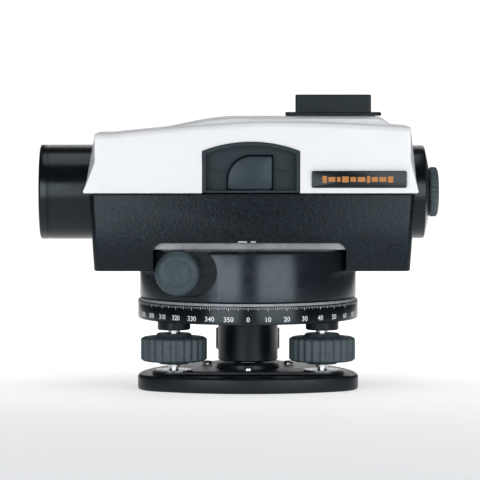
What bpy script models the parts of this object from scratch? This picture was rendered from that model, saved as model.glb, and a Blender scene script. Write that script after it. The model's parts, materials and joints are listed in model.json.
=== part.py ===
"""Automatic level: a surveyor's telescope on a levelling base, as separate named parts.

Metres, +Z up. The origin is on the vertical axis, on the underside of the base plate.
+X points to the eyepiece, -X to the objective, and -Y is the operator's left-hand side.
"""

import math

import bmesh
import bpy
from mathutils import Vector

# ---------------------------------------------------------------- driving dimensions
GAP = 0.0003  # between two pieces that touch
SLIP = 0.0006  # between two pieces that turn or slide in each other

# Base plate and foot screws
BASE_THICKNESS = 0.0077
FOOT_RADIUS = 0.0427  # vertical axis to a foot screw's axis
BASE_CORNER = 0.018
BASE_SIDE_RADIUS = 0.090
BASE_BOSS_RADIUS = 0.0155
BASE_BOSS_HEIGHT = 0.0035
THREAD_RADIUS = 0.00675  # 5/8"-11 UNC, minor radius
BALL_RADIUS = 0.0035
NECK_RADIUS = 0.0022
SPRING_THICKNESS = 0.0012
SPRING_CORNER = 0.011
SCREW_RADIUS = 0.0026
SCREW_DEPTH = 0.0050
SPINDLE_RADIUS = 0.0030
KNOB_RADIUS = 0.0165
KNOB_HEIGHT = 0.012
KNOB_LIFT = 0.0050  # spring plate to the underside of a foot knob
KNOB_NECK = 0.0082
LEVELLING_TRAVEL = 0.0015

# Tribrach, circle and fine drive
SLEEVE_LENGTH = 0.0052
TRIBRACH_THICKNESS = 0.0070
HUB_RADIUS = 0.0150
HUB_GAP = 0.0016  # base boss to hub, room for tilting
AXLE_RADIUS = 0.0090
BUSH_WALL = 0.0026
CIRCLE_WALL = 0.0046  # tribrach's rim to the circle's rim
CIRCLE_HEIGHT = 0.0102
CIRCLE_LIP = 0.0069  # how far the circle reaches in over the tribrach
DRUM_STEP = 0.0010  # circle's rim to the drum's rim
DRUM_HEIGHT = 0.0249
DRUM_WALL = 0.0125
DRUM_FLOOR = 0.0028
WHEEL_TIP_RADIUS = 0.0303
WHEEL_WIDTH = 0.0050
WHEEL_TEETH = 72
WORM_RADIUS = 0.0040
WORM_PITCH = 0.0032
TANGENT_KNOB_RADIUS = 0.0110
TANGENT_KNOB_LENGTH = 0.0170
TANGENT_KNOB_DEPTH = 0.0120  # drum's rim to the inner end of a knob
POCKET_MARGIN = 0.0014
POCKET_STRETCH = 0.0070  # the knob's pocket is this much longer than it is high

# Housing and cover
HALF_DEPTH = 0.0340
WALL = 0.0025
HOUSING_FRONT = -0.0786
HOUSING_REAR = 0.0826
HOUSING_SKIRT = 0.0105  # drum's top down to the housing's lower edge
HOUSING_HEIGHT = 0.0385
CREASE_HEIGHT = 0.0102  # housing's lower edge to its crease
HOUSING_TAPER = 0.0022
HOUSING_CHAMFER = 0.0030
COVER_SHOULDER_HEIGHT = 0.0170  # seam to where the cover's ends turn vertical
COVER_FLARE = 0.0028  # how far the cover's front end stands out past the housing
COVER_FRONT_HEIGHT = 0.0296
COVER_HIGH_HEIGHT = 0.0356
COVER_REAR_HEIGHT = 0.0330
COVER_RISE_SETBACK = 0.0096  # housing's front to where the cover's top starts to rise
COVER_RISE_LENGTH = 0.0730
COVER_EDGE = 0.0035
HUMP_HEIGHT = 0.0379
HUMP_START = -0.0480
HUMP_HALF_DEPTH = 0.0220
HUMP_SETBACK = 0.0075  # cover's rear end to the hump's
ARCH_LEFT = -0.0470
ARCH_RIGHT = 0.0486
ARCH_GAP = 0.0036  # drum's top to the arch in the housing's side
ARCH_CORNER = 0.0050
BAY_LEFT = -0.0228
BAY_RIGHT = 0.0258
BAY_CORNER_HEIGHT = 0.0212
BAY_HEIGHT = 0.0258
BAY_DEPTH = 0.0195
BAY_RECESS = 0.0070  # depth of the panels beside the prism hood
BAY_WALL = 0.0015
NICHE_ROOM = 0.0010
CHASSIS_THICKNESS = 0.0033
CHASSIS_END_GAP = 0.0040
SADDLE_HALF = 0.0210
WIDE_SADDLE_LENGTH = 0.0260

# Telescope
SIGHT_DROP = 0.0002  # seam down to the optical axis
LENS_RADIUS = 0.0197
BARREL_WALL = 0.0038
BARREL_REACH = 0.0258  # housing's front to the barrel's
BARREL_LENGTH = 0.0344
LENS_SEAT_DEPTH = 0.0164
CROWN_THICKNESS = 0.0068
FLINT_THICKNESS = 0.0042
TUBE_INSERT = 0.0157  # how far the wide tube reaches into the barrel
NARROW_TUBE_RADIUS = 0.0105
TUBE_WALL = 0.0015
TUBE_STEP_BACK = 0.0375  # centre of focusing back to the step between the tubes
TUBE_BEYOND = 0.0285  # centre of focusing to the tube's rear end
FOCUS_TRAVEL = 0.0100
FOCUS_CELL_LENGTH = 0.0260
RACK_WIDTH = 0.0044
RACK_HEIGHT = 0.0028
RACK_TEETH = 16
PINION_RADIUS = 0.0020
PINION_SEAT = 0.0018
FOCUS_KNOB_RADIUS = 0.0140
FOCUS_KNOB_LENGTH = 0.0130
RETICLE_BACK = 0.0221  # housing's rear forward to the reticle
RETICLE_BORE = 0.0075
EYEPIECE_RADIUS = 0.0110
EYEPIECE_REACH = 0.0086
EYE_CELL_RADIUS = 0.0090
DIOPTRE_RADIUS = 0.0125
DIOPTRE_REACH = 0.0133
DIOPTRE_TRAVEL = 0.0015
REAR_CAP_RADIUS = 0.02345
REAR_CAP_REACH = 0.0083
REAR_CAP_INSERT = 0.0061
REAR_CAP_WALL = 0.0030

# Compensator
COMPENSATOR_BACK = 0.0165  # reticle forward to the pendulum
COMPENSATOR_LENGTH = 0.0260
COMPENSATOR_HALF_DEPTH = 0.0150
COMPENSATOR_HEIGHT = 0.0192  # above the optical axis
COMPENSATOR_WALL = 0.0020
SWING_HEIGHT = 0.0112  # optical axis to where the suspension ribbons cross
RIBBON_HALF = 0.0040  # crossing to each clamp
DAMPER_RADIUS = 0.0060
SWING_ROOM = 0.0012

# Circular level
VIAL_X = 0.0009
VIAL_DEPTH = 0.0115  # housing's side to the vial's centre
VIAL_RADIUS = 0.0082
HOOD_LEFT = -0.0102
HOOD_RIGHT = 0.0120
HOOD_HEIGHT = 0.0187
HOOD_WALL = 0.0013
HOOD_NOSE = 0.0120

# Sight and label
SIGHT_LENGTH = 0.0378
SIGHT_SETBACK = 0.0208  # housing's rear to the sight's
SIGHT_HEIGHT = 0.0106
SIGHT_HALF_WIDTH = 0.0075
SIGHT_FLANGE = 0.0051
SIGHT_WALL = 0.0013
LABEL_SETBACK = 0.0042
LABEL_LENGTH = 0.0469
LABEL_LIFT = 0.0030
LABEL_HEIGHT = 0.0084
LABEL_THICKNESS = 0.0008

# ---------------------------------------------------------------- places that follow
BOSS_TOP = BASE_THICKNESS + BASE_BOSS_HEIGHT
SPRING_BOTTOM = BASE_THICKNESS + GAP
SPRING_TOP = SPRING_BOTTOM + SPRING_THICKNESS
SPRING_HOLE = NECK_RADIUS + SLIP
BALL_AT_HOLE = math.sqrt(BALL_RADIUS**2 - SPRING_HOLE**2)
BALL_Z = SPRING_BOTTOM - GAP - BALL_AT_HOLE
FOOT_ANGLES = [math.radians(a) for a in (210, 330, 90)]
FEET = [(FOOT_RADIUS * math.cos(a), FOOT_RADIUS * math.sin(a)) for a in FOOT_ANGLES]
KNOB_BOTTOM = SPRING_TOP + KNOB_LIFT
KNOB_TOP = KNOB_BOTTOM + KNOB_HEIGHT
KNOB_CONE_TOP = KNOB_TOP + 0.0018
SLEEVE_BOTTOM = KNOB_CONE_TOP + LEVELLING_TRAVEL + GAP
TRIBRACH_RADIUS = FOOT_RADIUS + KNOB_NECK
TRIBRACH_BOTTOM = SLEEVE_BOTTOM + SLEEVE_LENGTH
TRIBRACH_TOP = TRIBRACH_BOTTOM + TRIBRACH_THICKNESS
SPINDLE_TOP = TRIBRACH_TOP - LEVELLING_TRAVEL - 2 * GAP
HUB_BOTTOM = BOSS_TOP + HUB_GAP
CIRCLE_RADIUS = TRIBRACH_RADIUS + CIRCLE_WALL
CIRCLE_BOTTOM = TRIBRACH_BOTTOM - 0.0005
CIRCLE_TOP = CIRCLE_BOTTOM + CIRCLE_HEIGHT
DRUM_RADIUS = CIRCLE_RADIUS - DRUM_STEP
DRUM_CAVITY = DRUM_RADIUS - DRUM_WALL
DRUM_BOTTOM = CIRCLE_TOP + 0.0004
DRUM_TOP = DRUM_BOTTOM + DRUM_HEIGHT
DRUM_ROOF = DRUM_TOP - 0.0025
BUSH_RADIUS = AXLE_RADIUS + GAP + BUSH_WALL
WHEEL_HUB = BUSH_RADIUS + GAP + 0.0030
SHOULDER_RADIUS = WHEEL_HUB + 0.0037
FLANGE_BOTTOM = DRUM_ROOF - GAP - 0.0030
HUB_TOP = FLANGE_BOTTOM - 0.0008
WHEEL_Z = HUB_TOP - 0.0034  # mid-plane of the worm wheel
WORM_X = -(WHEEL_TIP_RADIUS + GAP + WORM_RADIUS)
TANGENT_KNOB_START = DRUM_RADIUS - TANGENT_KNOB_DEPTH
CHASSIS_BOTTOM = DRUM_TOP + GAP
CHASSIS_TOP = CHASSIS_BOTTOM + CHASSIS_THICKNESS
ARCH_TOP = DRUM_TOP + ARCH_GAP
HOUSING_BOTTOM = DRUM_TOP - HOUSING_SKIRT
HOUSING_CREASE = HOUSING_BOTTOM + CREASE_HEIGHT
HOUSING_TOP = HOUSING_BOTTOM + HOUSING_HEIGHT
SIDE_FACE = -HALF_DEPTH
SIGHT_LINE = HOUSING_TOP - SIGHT_DROP
COVER_BOTTOM = HOUSING_TOP + GAP
COVER_SHOULDER = HOUSING_TOP + COVER_SHOULDER_HEIGHT
COVER_FRONT_TOP = HOUSING_TOP + COVER_FRONT_HEIGHT
COVER_HIGH = HOUSING_TOP + COVER_HIGH_HEIGHT
COVER_REAR_TOP = HOUSING_TOP + COVER_REAR_HEIGHT
COVER_RISE_START = HOUSING_FRONT + COVER_RISE_SETBACK
HUMP_TOP = HOUSING_TOP + HUMP_HEIGHT
BAY_CORNER_TOP = HOUSING_TOP + BAY_CORNER_HEIGHT
BAY_TOP = HOUSING_TOP + BAY_HEIGHT
BARREL_RADIUS = LENS_RADIUS + GAP + BARREL_WALL
BARREL_FRONT = HOUSING_FRONT - BARREL_REACH
BARREL_REAR = BARREL_FRONT + BARREL_LENGTH
WIDE_TUBE_RADIUS = BARREL_RADIUS - 0.0028
RETICLE_X = HOUSING_REAR - RETICLE_BACK
EYEPIECE_END = HOUSING_REAR + EYEPIECE_REACH
DIOPTRE_END = HOUSING_REAR + DIOPTRE_REACH
REAR_CAP_END = HOUSING_REAR + REAR_CAP_REACH
REAR_CAP_START = HOUSING_REAR - REAR_CAP_INSERT
COMPENSATOR_X = RETICLE_X - COMPENSATOR_BACK
COMPENSATOR_LEFT = COMPENSATOR_X - COMPENSATOR_LENGTH / 2
COMPENSATOR_RIGHT = COMPENSATOR_X + COMPENSATOR_LENGTH / 2
COMPENSATOR_TOP = SIGHT_LINE + COMPENSATOR_HEIGHT
SWING_AXIS = SIGHT_LINE + SWING_HEIGHT
TUBE_END = COMPENSATOR_LEFT - 0.0010
FOCUS_CENTRE = TUBE_END - TUBE_BEYOND
TUBE_STEP = FOCUS_CENTRE - TUBE_STEP_BACK
FOCUS_CELL_RADIUS = NARROW_TUBE_RADIUS - TUBE_WALL - GAP
RACK_BOTTOM = SIGHT_LINE + FOCUS_CELL_RADIUS + GAP
RACK_TOP = RACK_BOTTOM + RACK_HEIGHT
PINION_Z = RACK_TOP + GAP + PINION_RADIUS
VIAL_Y = SIDE_FACE + VIAL_DEPTH
HOOD_TOP = HOUSING_TOP + HOOD_HEIGHT
SIGHT_RIGHT = HOUSING_REAR - SIGHT_SETBACK
SIGHT_LEFT = SIGHT_RIGHT - SIGHT_LENGTH
SIGHT_FLANGE_BOTTOM = HUMP_TOP + GAP
SIGHT_FLANGE_TOP = SIGHT_FLANGE_BOTTOM + 0.0024
SIGHT_TOP = SIGHT_FLANGE_BOTTOM + SIGHT_HEIGHT
LABEL_RIGHT = HOUSING_REAR - LABEL_SETBACK
LABEL_LEFT = LABEL_RIGHT - LABEL_LENGTH
LABEL_BOTTOM = HOUSING_TOP + LABEL_LIFT
LABEL_TOP = LABEL_BOTTOM + LABEL_HEIGHT

# ---------------------------------------------------------------- scene and materials
for old in list(bpy.data.objects):
    bpy.data.objects.remove(old)
PARTS = bpy.data.collections.new("automatic_level")
CUTTERS = bpy.data.collections.new("cutters")
bpy.context.scene.collection.children.link(PARTS)
bpy.context.scene.collection.children.link(CUTTERS)


def material(name, colour, roughness, metallic=0.0):
    made = bpy.data.materials.new(name)
    made.use_nodes = True
    shader = made.node_tree.nodes["Principled BSDF"]
    shader.inputs["Base Color"].default_value = (*colour, 1.0)
    shader.inputs["Roughness"].default_value = roughness
    shader.inputs["Metallic"].default_value = metallic
    made.diffuse_color = (*colour, 1.0)
    return made


BLACK = material("black_plastic", (0.010, 0.012, 0.014), 0.35)
SLATE = material("slate_paint", (0.045, 0.060, 0.070), 0.45)
WHITE = material("white_plastic", (0.83, 0.84, 0.87), 0.35)
DRUM_GREY = material("drum_paint", (0.040, 0.050, 0.055), 0.30)
KNOB_GREY = material("knob_rubber", (0.075, 0.095, 0.105), 0.55)
STEEL = material("steel", (0.55, 0.56, 0.58), 0.30, 1.0)
BRASS = material("brass", (0.70, 0.50, 0.22), 0.30, 1.0)
ALUMINIUM = material("aluminium", (0.60, 0.61, 0.62), 0.40, 1.0)
GLASS = material("lens_glass", (0.75, 0.85, 0.82), 0.05)
FRICTION = material("friction_plastic", (0.35, 0.20, 0.08), 0.70)


# ---------------------------------------------------------------- modelling tools
def place(name, mesh, look, at=(0, 0, 0), turn=(0, 0, 0), collection=PARTS):
    made = bpy.data.objects.new(name, mesh)
    made.location = at
    made.rotation_euler = turn
    collection.objects.link(made)
    if look:
        mesh.materials.append(look)
    else:
        made.hide_render = True
        made.display_type = "WIRE"
    return made


def turned(name, profile, look, at=(0, 0, 0), turn=(0, 0, 0), steps=24, ring=False):
    """A solid of revolution about local Z. The profile (radius, z) runs down its outer side."""
    mesh = bpy.data.meshes.new(name)
    count = len(profile)
    edges = [(i, (i + 1) % count) for i in range(count if ring else count - 1)]
    mesh.from_pydata([(r, 0, z) for r, z in profile], edges, [])
    made = place(name, mesh, look, at, turn, PARTS if look else CUTTERS)
    screw = made.modifiers.new("turn", "SCREW")
    screw.steps = steps
    screw.render_steps = steps
    screw.use_merge_vertices = True
    screw.merge_threshold = 0.00001
    return made


def tube_profile(outer, inner, top, bottom):
    return [(outer, top), (outer, bottom), (inner, bottom), (inner, top)]


def rod_profile(radius, top, bottom):
    return [(0, top), (radius, top), (radius, bottom), (0, bottom)]


def box(name, low, high, look=None):
    """A box between two opposite corners."""
    mesh = bpy.data.meshes.new(name)
    form = bmesh.new()
    bmesh.ops.create_cube(form, size=1.0)
    low = Vector(low)
    high = Vector(high)
    for vert in form.verts:
        vert.co = Vector(c * s for c, s in zip(vert.co, high - low)) + (high + low) / 2
    form.to_mesh(mesh)
    form.free()
    return place(name, mesh, look, collection=PARTS if look else CUTTERS)


def slab(name, outlines, thickness, look=None, at=(0, 0, 0), turn=(0, 0, 0)):
    """A flat outline with any holes, in local XY, thickened upwards in local Z."""
    curve = bpy.data.curves.new(name, "CURVE")
    curve.dimensions = "2D"
    curve.fill_mode = "BOTH"
    curve.extrude = thickness / 2
    for outline in outlines:
        spline = curve.splines.new("POLY")
        spline.points.add(len(outline) - 1)
        for point, (x, y) in zip(spline.points, outline):
            point.co = (x, y, 0, 1)
        spline.use_cyclic_u = True
    source = bpy.data.objects.new(name + "_outline", curve)
    mesh = bpy.data.meshes.new_from_object(source)
    bpy.data.objects.remove(source)
    form = bmesh.new()
    form.from_mesh(mesh)
    bmesh.ops.remove_doubles(form, verts=form.verts, dist=0.000001)
    bmesh.ops.dissolve_limit(form, angle_limit=0.0001, verts=form.verts, edges=form.edges)
    bmesh.ops.translate(form, verts=form.verts, vec=(0, 0, thickness / 2))
    bmesh.ops.recalc_face_normals(form, faces=form.faces)
    form.to_mesh(mesh)
    form.free()
    return place(name, mesh, look, at, turn, PARTS if look else CUTTERS)


def upright_slab(name, outlines, half_depth, look=None, middle=0.0):
    """A slab whose outline is in X and Z, centred on the plane y = middle."""
    return slab(name, outlines, 2 * half_depth, look, (0, middle + half_depth, 0), (math.pi / 2, 0, 0))


def lofted(name, sections, look=None):
    """A closed solid through outlines that all have the same number of points."""
    mesh = bpy.data.meshes.new(name)
    form = bmesh.new()
    rings = [[form.verts.new(point) for point in section] for section in sections]
    for lower, upper in zip(rings, rings[1:]):
        for i in range(len(lower)):
            form.faces.new((lower[i - 1], lower[i], upper[i], upper[i - 1]))
    form.faces.new(rings[0])
    form.faces.new(rings[-1])
    bmesh.ops.recalc_face_normals(form, faces=form.faces)
    form.to_mesh(mesh)
    form.free()
    return place(name, mesh, look, collection=PARTS if look else CUTTERS)


def bevel(made, width, segments=2, limit=40):
    edge = made.modifiers.new("bevel", "BEVEL")
    edge.width = width
    edge.segments = segments
    edge.limit_method = "ANGLE"
    edge.angle_limit = math.radians(limit)


def combine(made, other, operation):
    step = made.modifiers.new(operation.lower() + "_" + other.name, "BOOLEAN")
    step.operation = operation
    step.solver = "EXACT"
    step.object = other


def cut(made, *cutters):
    for cutter in cutters:
        combine(made, cutter, "DIFFERENCE")


def join(made, *others):
    for other in others:
        combine(made, other, "UNION")


def cut_rod(name, radius, start, end, turn=(0, 0, 0), at=(0, 0, 0), steps=32):
    return turned(name, rod_profile(radius, end, start), None, at, turn, steps)


ALONG_X = (0, math.pi / 2, 0)  # local Z to world X
ALONG_Y = (-math.pi / 2, 0, 0)  # local Z to world Y
AXIS = (0, 0, SIGHT_LINE)


def arc(centre, radius, start, end, count):
    """Points on an arc, in degrees."""
    angles = [math.radians(start + (end - start) * i / count) for i in range(count + 1)]
    return [(centre[0] + radius * math.cos(a), centre[1] + radius * math.sin(a)) for a in angles]


def rounded_triangle(corner, side_radius=None, steps=8):
    """Round corners about the three foot screws, joined by straight or bulging sides."""
    half = 60.0
    side = []
    if side_radius:
        half_chord = FOOT_RADIUS * math.sin(math.radians(60))
        swing = math.degrees(math.asin(half_chord / (side_radius - corner)))
        half = 60.0 - swing
        back = (side_radius - corner) * math.cos(math.radians(swing)) - FOOT_RADIUS / 2
        side = [(back, swing)]
    points = []
    for angle in (90, 210, 330):
        turn = math.radians(angle)
        centre = (FOOT_RADIUS * math.cos(turn), FOOT_RADIUS * math.sin(turn))
        points += arc(centre, corner, angle - half, angle + half, steps)
        for back, swing in side:
            middle = angle + 60
            turn = math.radians(middle)
            hub = (-back * math.cos(turn), -back * math.sin(turn))
            points += arc(hub, side_radius, middle - swing, middle + swing, steps)[1:-1]
    return points


# ---------------------------------------------------------------- base
def make_base():
    plate = slab("base_plate", [rounded_triangle(BASE_CORNER, BASE_SIDE_RADIUS)], BASE_THICKNESS, BLACK)
    bevel(plate, 0.0012, 1)
    boss = turned("boss_form", rod_profile(BASE_BOSS_RADIUS, BOSS_TOP, BASE_THICKNESS / 2), None)
    join(plate, boss)
    cut(plate, cut_rod("thread_bore", THREAD_RADIUS, -0.01, BOSS_TOP + 0.01))
    for i, (x, y) in enumerate(FEET, 1):
        floor = BALL_Z - BALL_RADIUS - GAP
        socket = cut_rod(f"socket_{i}", BALL_RADIUS + GAP, floor, 0.02, at=(x, y, 0), steps=16)
        cut(plate, socket)

    hole = arc((0, 0), BASE_BOSS_RADIUS + 0.0005, 0, 345, 23)
    spring = slab("spring_plate", [rounded_triangle(SPRING_CORNER), hole], SPRING_THICKNESS, STEEL,
                  (0, 0, SPRING_BOTTOM))
    for i, (x, y) in enumerate(FEET, 1):
        cut(spring, cut_rod(f"neck_hole_{i}", SPRING_HOLE, 0, 0.02, at=(x, y, 0), steps=16))

    screw_radius = (BASE_BOSS_RADIUS + FOOT_RADIUS / 2 + SPRING_CORNER) / 2
    shank = SCREW_RADIUS / 2
    for i, angle in enumerate((270, 30, 150), 1):
        turn = math.radians(angle)
        at = (screw_radius * math.cos(turn), screw_radius * math.sin(turn), 0)
        head = SPRING_TOP + GAP
        profile = [(0, head + 0.0018), (SCREW_RADIUS * 0.7, head + 0.0018), (SCREW_RADIUS, head + 0.0008)]
        profile += [(SCREW_RADIUS, head), (shank, head), (shank, head - SCREW_DEPTH), (0, head - SCREW_DEPTH)]
        turned(f"spring_plate_screw_{i}", profile, STEEL, at, steps=12)
        hole = cut_rod(f"screw_hole_{i}", shank + GAP, head - SCREW_DEPTH - GAP, 0.03, at=at, steps=12)
        cut(plate, hole)
        cut(spring, hole)


def make_foot_screw(number, x, y):
    ball = arc((0, BALL_Z), BALL_RADIUS, 50, -90, 5)
    bore = SPINDLE_RADIUS + GAP
    shoulder = SPRING_TOP + 0.0018
    profile = [(0, SPINDLE_TOP), (SPINDLE_RADIUS, SPINDLE_TOP), (SPINDLE_RADIUS, shoulder)]
    profile += [(NECK_RADIUS, shoulder)] + ball[:-1] + [(0, BALL_Z - BALL_RADIUS)]
    turned(f"foot_spindle_{number}", profile, STEEL, (x, y, 0), steps=16)
    edge = 0.0010
    low = [(KNOB_RADIUS - edge, KNOB_BOTTOM), (KNOB_NECK, KNOB_BOTTOM)]
    low += [(KNOB_NECK - 0.001, KNOB_BOTTOM - 0.0015)]
    profile = [(KNOB_NECK, KNOB_CONE_TOP), (KNOB_NECK + 0.0016, KNOB_TOP), (KNOB_RADIUS - edge, KNOB_TOP)]
    profile += [(KNOB_RADIUS, KNOB_TOP - edge), (KNOB_RADIUS, KNOB_BOTTOM + edge)] + low
    profile += [(bore, KNOB_BOTTOM - 0.0015), (bore, KNOB_CONE_TOP)]
    turned(f"foot_knob_{number}", profile, KNOB_GREY, (x, y, 0), steps=28, ring=True)


# ---------------------------------------------------------------- tribrach
def make_tribrach():
    flare = [(SHOULDER_RADIUS, TRIBRACH_BOTTOM), (HUB_RADIUS, TRIBRACH_BOTTOM - 0.0045)]
    flare += [(HUB_RADIUS, HUB_BOTTOM)]
    bore = BUSH_RADIUS + GAP
    floor = HUB_BOTTOM + 0.0030
    profile = [(bore, HUB_TOP), (WHEEL_HUB, HUB_TOP)]
    shoulder = WHEEL_Z - WHEEL_WIDTH / 2 - GAP
    profile += [(WHEEL_HUB, shoulder), (SHOULDER_RADIUS, shoulder), (SHOULDER_RADIUS, TRIBRACH_TOP)]
    profile += [(TRIBRACH_RADIUS, TRIBRACH_TOP), (TRIBRACH_RADIUS, TRIBRACH_BOTTOM)] + flare
    profile = [(0, floor), (bore, floor)] + profile + [(0, HUB_BOTTOM)]
    body = turned("tribrach_body", profile, BLACK, steps=40)
    for i, (x, y) in enumerate(FEET, 1):
        pipe = rod_profile(KNOB_NECK, TRIBRACH_BOTTOM + 0.003, SLEEVE_BOTTOM)
        sleeve = turned(f"sleeve_form_{i}", pipe, None, (x, y, 0), steps=24)
        join(body, sleeve)
    for i, (x, y) in enumerate(FEET, 1):
        thread = cut_rod(f"foot_bore_{i}", SPINDLE_RADIUS + GAP, 0, 0.06, at=(x, y, 0), steps=16)
        cut(body, thread)
    bush = tube_profile(BUSH_RADIUS, AXLE_RADIUS + GAP, HUB_TOP, floor + GAP)
    turned("bearing_bush", bush, BRASS, ring=True)

    corner = 0.0012
    profile = [(CIRCLE_RADIUS - corner, CIRCLE_TOP), (CIRCLE_RADIUS, CIRCLE_TOP - corner)]
    profile += [(CIRCLE_RADIUS, CIRCLE_BOTTOM), (TRIBRACH_RADIUS + SLIP, CIRCLE_BOTTOM)]
    bore = TRIBRACH_RADIUS - CIRCLE_LIP
    profile += [(TRIBRACH_RADIUS + SLIP, TRIBRACH_TOP + GAP), (bore, TRIBRACH_TOP + GAP)]
    turned("horizontal_circle", profile + [(bore, CIRCLE_TOP)], BLACK, steps=56, ring=True)


# ---------------------------------------------------------------- fine drive
def wheel_outline():
    """Square-cut teeth, shallow enough to stay clear of the worm."""
    root = WHEEL_TIP_RADIUS - 0.0012
    points = []
    for tooth in range(WHEEL_TEETH):
        for step, radius in ((0.0, root), (0.4, WHEEL_TIP_RADIUS), (0.7, WHEEL_TIP_RADIUS)):
            angle = 2 * math.pi * (tooth + step) / WHEEL_TEETH
            points.append((radius * math.cos(angle), radius * math.sin(angle)))
    return points


def make_fine_drive():
    ring_outer = WHEEL_HUB + GAP + 0.0012
    bottom = WHEEL_Z - WHEEL_WIDTH / 2
    top = WHEEL_Z + WHEEL_WIDTH / 2
    turned("friction_ring", tube_profile(ring_outer, WHEEL_HUB + GAP, top, bottom), FRICTION, ring=True)
    bore = arc((0, 0), ring_outer + GAP, 0, 345, 23)
    slab("worm_wheel", [wheel_outline(), bore], WHEEL_WIDTH, BRASS, (0, 0, bottom))

    # Worm shaft: ground journals, a grooved worm in the middle and a slimmer seat for each knob.
    half = TANGENT_KNOB_START + TANGENT_KNOB_LENGTH - 0.0030
    seat = WORM_RADIUS - 0.0012
    journal = TANGENT_KNOB_START - 0.0006
    profile = [(0, half), (seat, half), (seat, journal), (WORM_RADIUS, journal)]
    profile += [(WORM_RADIUS, 2.5 * WORM_PITCH)]
    pitch = WORM_PITCH
    for turn in range(5):
        top_of_thread = (2.5 - turn) * pitch
        profile += [(WORM_RADIUS - 0.0010, top_of_thread - pitch * 0.3)]
        profile += [(WORM_RADIUS - 0.0010, top_of_thread - pitch * 0.5)]
        profile += [(WORM_RADIUS, top_of_thread - pitch * 0.8)]
    profile += [(WORM_RADIUS, -journal), (seat, -journal), (seat, -half), (0, -half)]
    turned("worm_shaft", profile, STEEL, (WORM_X, 0, WHEEL_Z), ALONG_Y, steps=14)

    start = TANGENT_KNOB_START
    end = start + TANGENT_KNOB_LENGTH
    radius = TANGENT_KNOB_RADIUS
    profile = [(0, end), (radius - 0.0030, end), (radius - 0.0010, end - 0.0008), (radius, end - 0.0030)]
    profile += [(radius, start + 0.0010), (radius - 0.0010, start), (seat + GAP, start)]
    profile += [(seat + GAP, half + GAP), (0, half + GAP)]
    turned("tangent_knob_rear", profile, KNOB_GREY, (WORM_X, 0, WHEEL_Z), ALONG_Y, steps=28)
    turned("tangent_knob_front", profile, KNOB_GREY, (WORM_X, 0, WHEEL_Z), (math.pi / 2, 0, 0), steps=28)

    edge = 0.0012
    profile = [(0, DRUM_TOP), (DRUM_RADIUS - edge, DRUM_TOP), (DRUM_RADIUS, DRUM_TOP - edge)]
    profile += [(DRUM_RADIUS, DRUM_BOTTOM + edge / 2), (DRUM_RADIUS - edge / 2, DRUM_BOTTOM)]
    hole = SHOULDER_RADIUS + SLIP
    profile += [(hole, DRUM_BOTTOM), (hole, DRUM_BOTTOM + DRUM_FLOOR)]
    profile += [(DRUM_CAVITY, DRUM_BOTTOM + DRUM_FLOOR), (DRUM_CAVITY, DRUM_ROOF), (0, DRUM_ROOF)]
    drum = turned("drive_housing", profile, DRUM_GREY, steps=56)
    at = (WORM_X, 0, WHEEL_Z)
    cut(drum, cut_rod("worm_bore", WORM_RADIUS + GAP, -0.06, 0.06, ALONG_Y, at, 16))
    # Each knob lies in a pocket that is stretched towards the middle of the drum.
    floor = start - 0.0008
    reach = radius + POCKET_MARGIN
    pocket = arc((WORM_X, WHEEL_Z), reach, 90, 270, 14)
    pocket += arc((WORM_X + POCKET_STRETCH, WHEEL_Z), reach, -90, 90, 14)
    depth = 0.02
    cut(drum, upright_slab("front_pocket", [pocket], depth, middle=-floor - depth))
    cut(drum, upright_slab("rear_pocket", [pocket], depth, middle=floor + depth))

    flange = BUSH_RADIUS + 0.004
    profile = [(0, DRUM_ROOF - GAP), (flange, DRUM_ROOF - GAP), (flange, FLANGE_BOTTOM)]
    profile += [(AXLE_RADIUS, FLANGE_BOTTOM), (AXLE_RADIUS, HUB_BOTTOM + 0.0045), (0, HUB_BOTTOM + 0.0045)]
    turned("vertical_spindle", profile, STEEL)


# ---------------------------------------------------------------- chassis and housings
def housing_section(z, inset=0.0):
    """The housing's plan at one height: a rectangle with chamfered corners, tapering downwards."""
    share = (HOUSING_TOP - z) / (HOUSING_TOP - HOUSING_BOTTOM)
    left = HOUSING_FRONT + HOUSING_TAPER * share + inset
    right = HOUSING_REAR - HOUSING_TAPER * share - inset
    below = max(0.0, HOUSING_CREASE - z) / (HOUSING_CREASE - HOUSING_BOTTOM)
    deep = HALF_DEPTH - HOUSING_TAPER * below - inset
    chamfer = HOUSING_CHAMFER
    corners = [(left, -deep + chamfer), (left + chamfer, -deep)]
    corners += [(right - chamfer, -deep), (right, -deep + chamfer)]
    corners += [(right, deep - chamfer), (right - chamfer, deep)]
    corners += [(left + chamfer, deep), (left, deep - chamfer)]
    return [(x, y, z) for x, y in corners]


def arch_outline(left, right, bottom, corner_z, top_z, steps=12):
    """Straight sides and an arched top through (middle, top_z)."""
    half = (right - left) / 2
    rise = top_z - corner_z
    radius = (half * half + rise * rise) / (2 * rise)
    swing = math.degrees(math.asin(half / radius))
    crown = arc(((left + right) / 2, top_z - radius), radius, 90 - swing, 90 + swing, steps)
    return [(left, bottom), (right, bottom)] + crown


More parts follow.
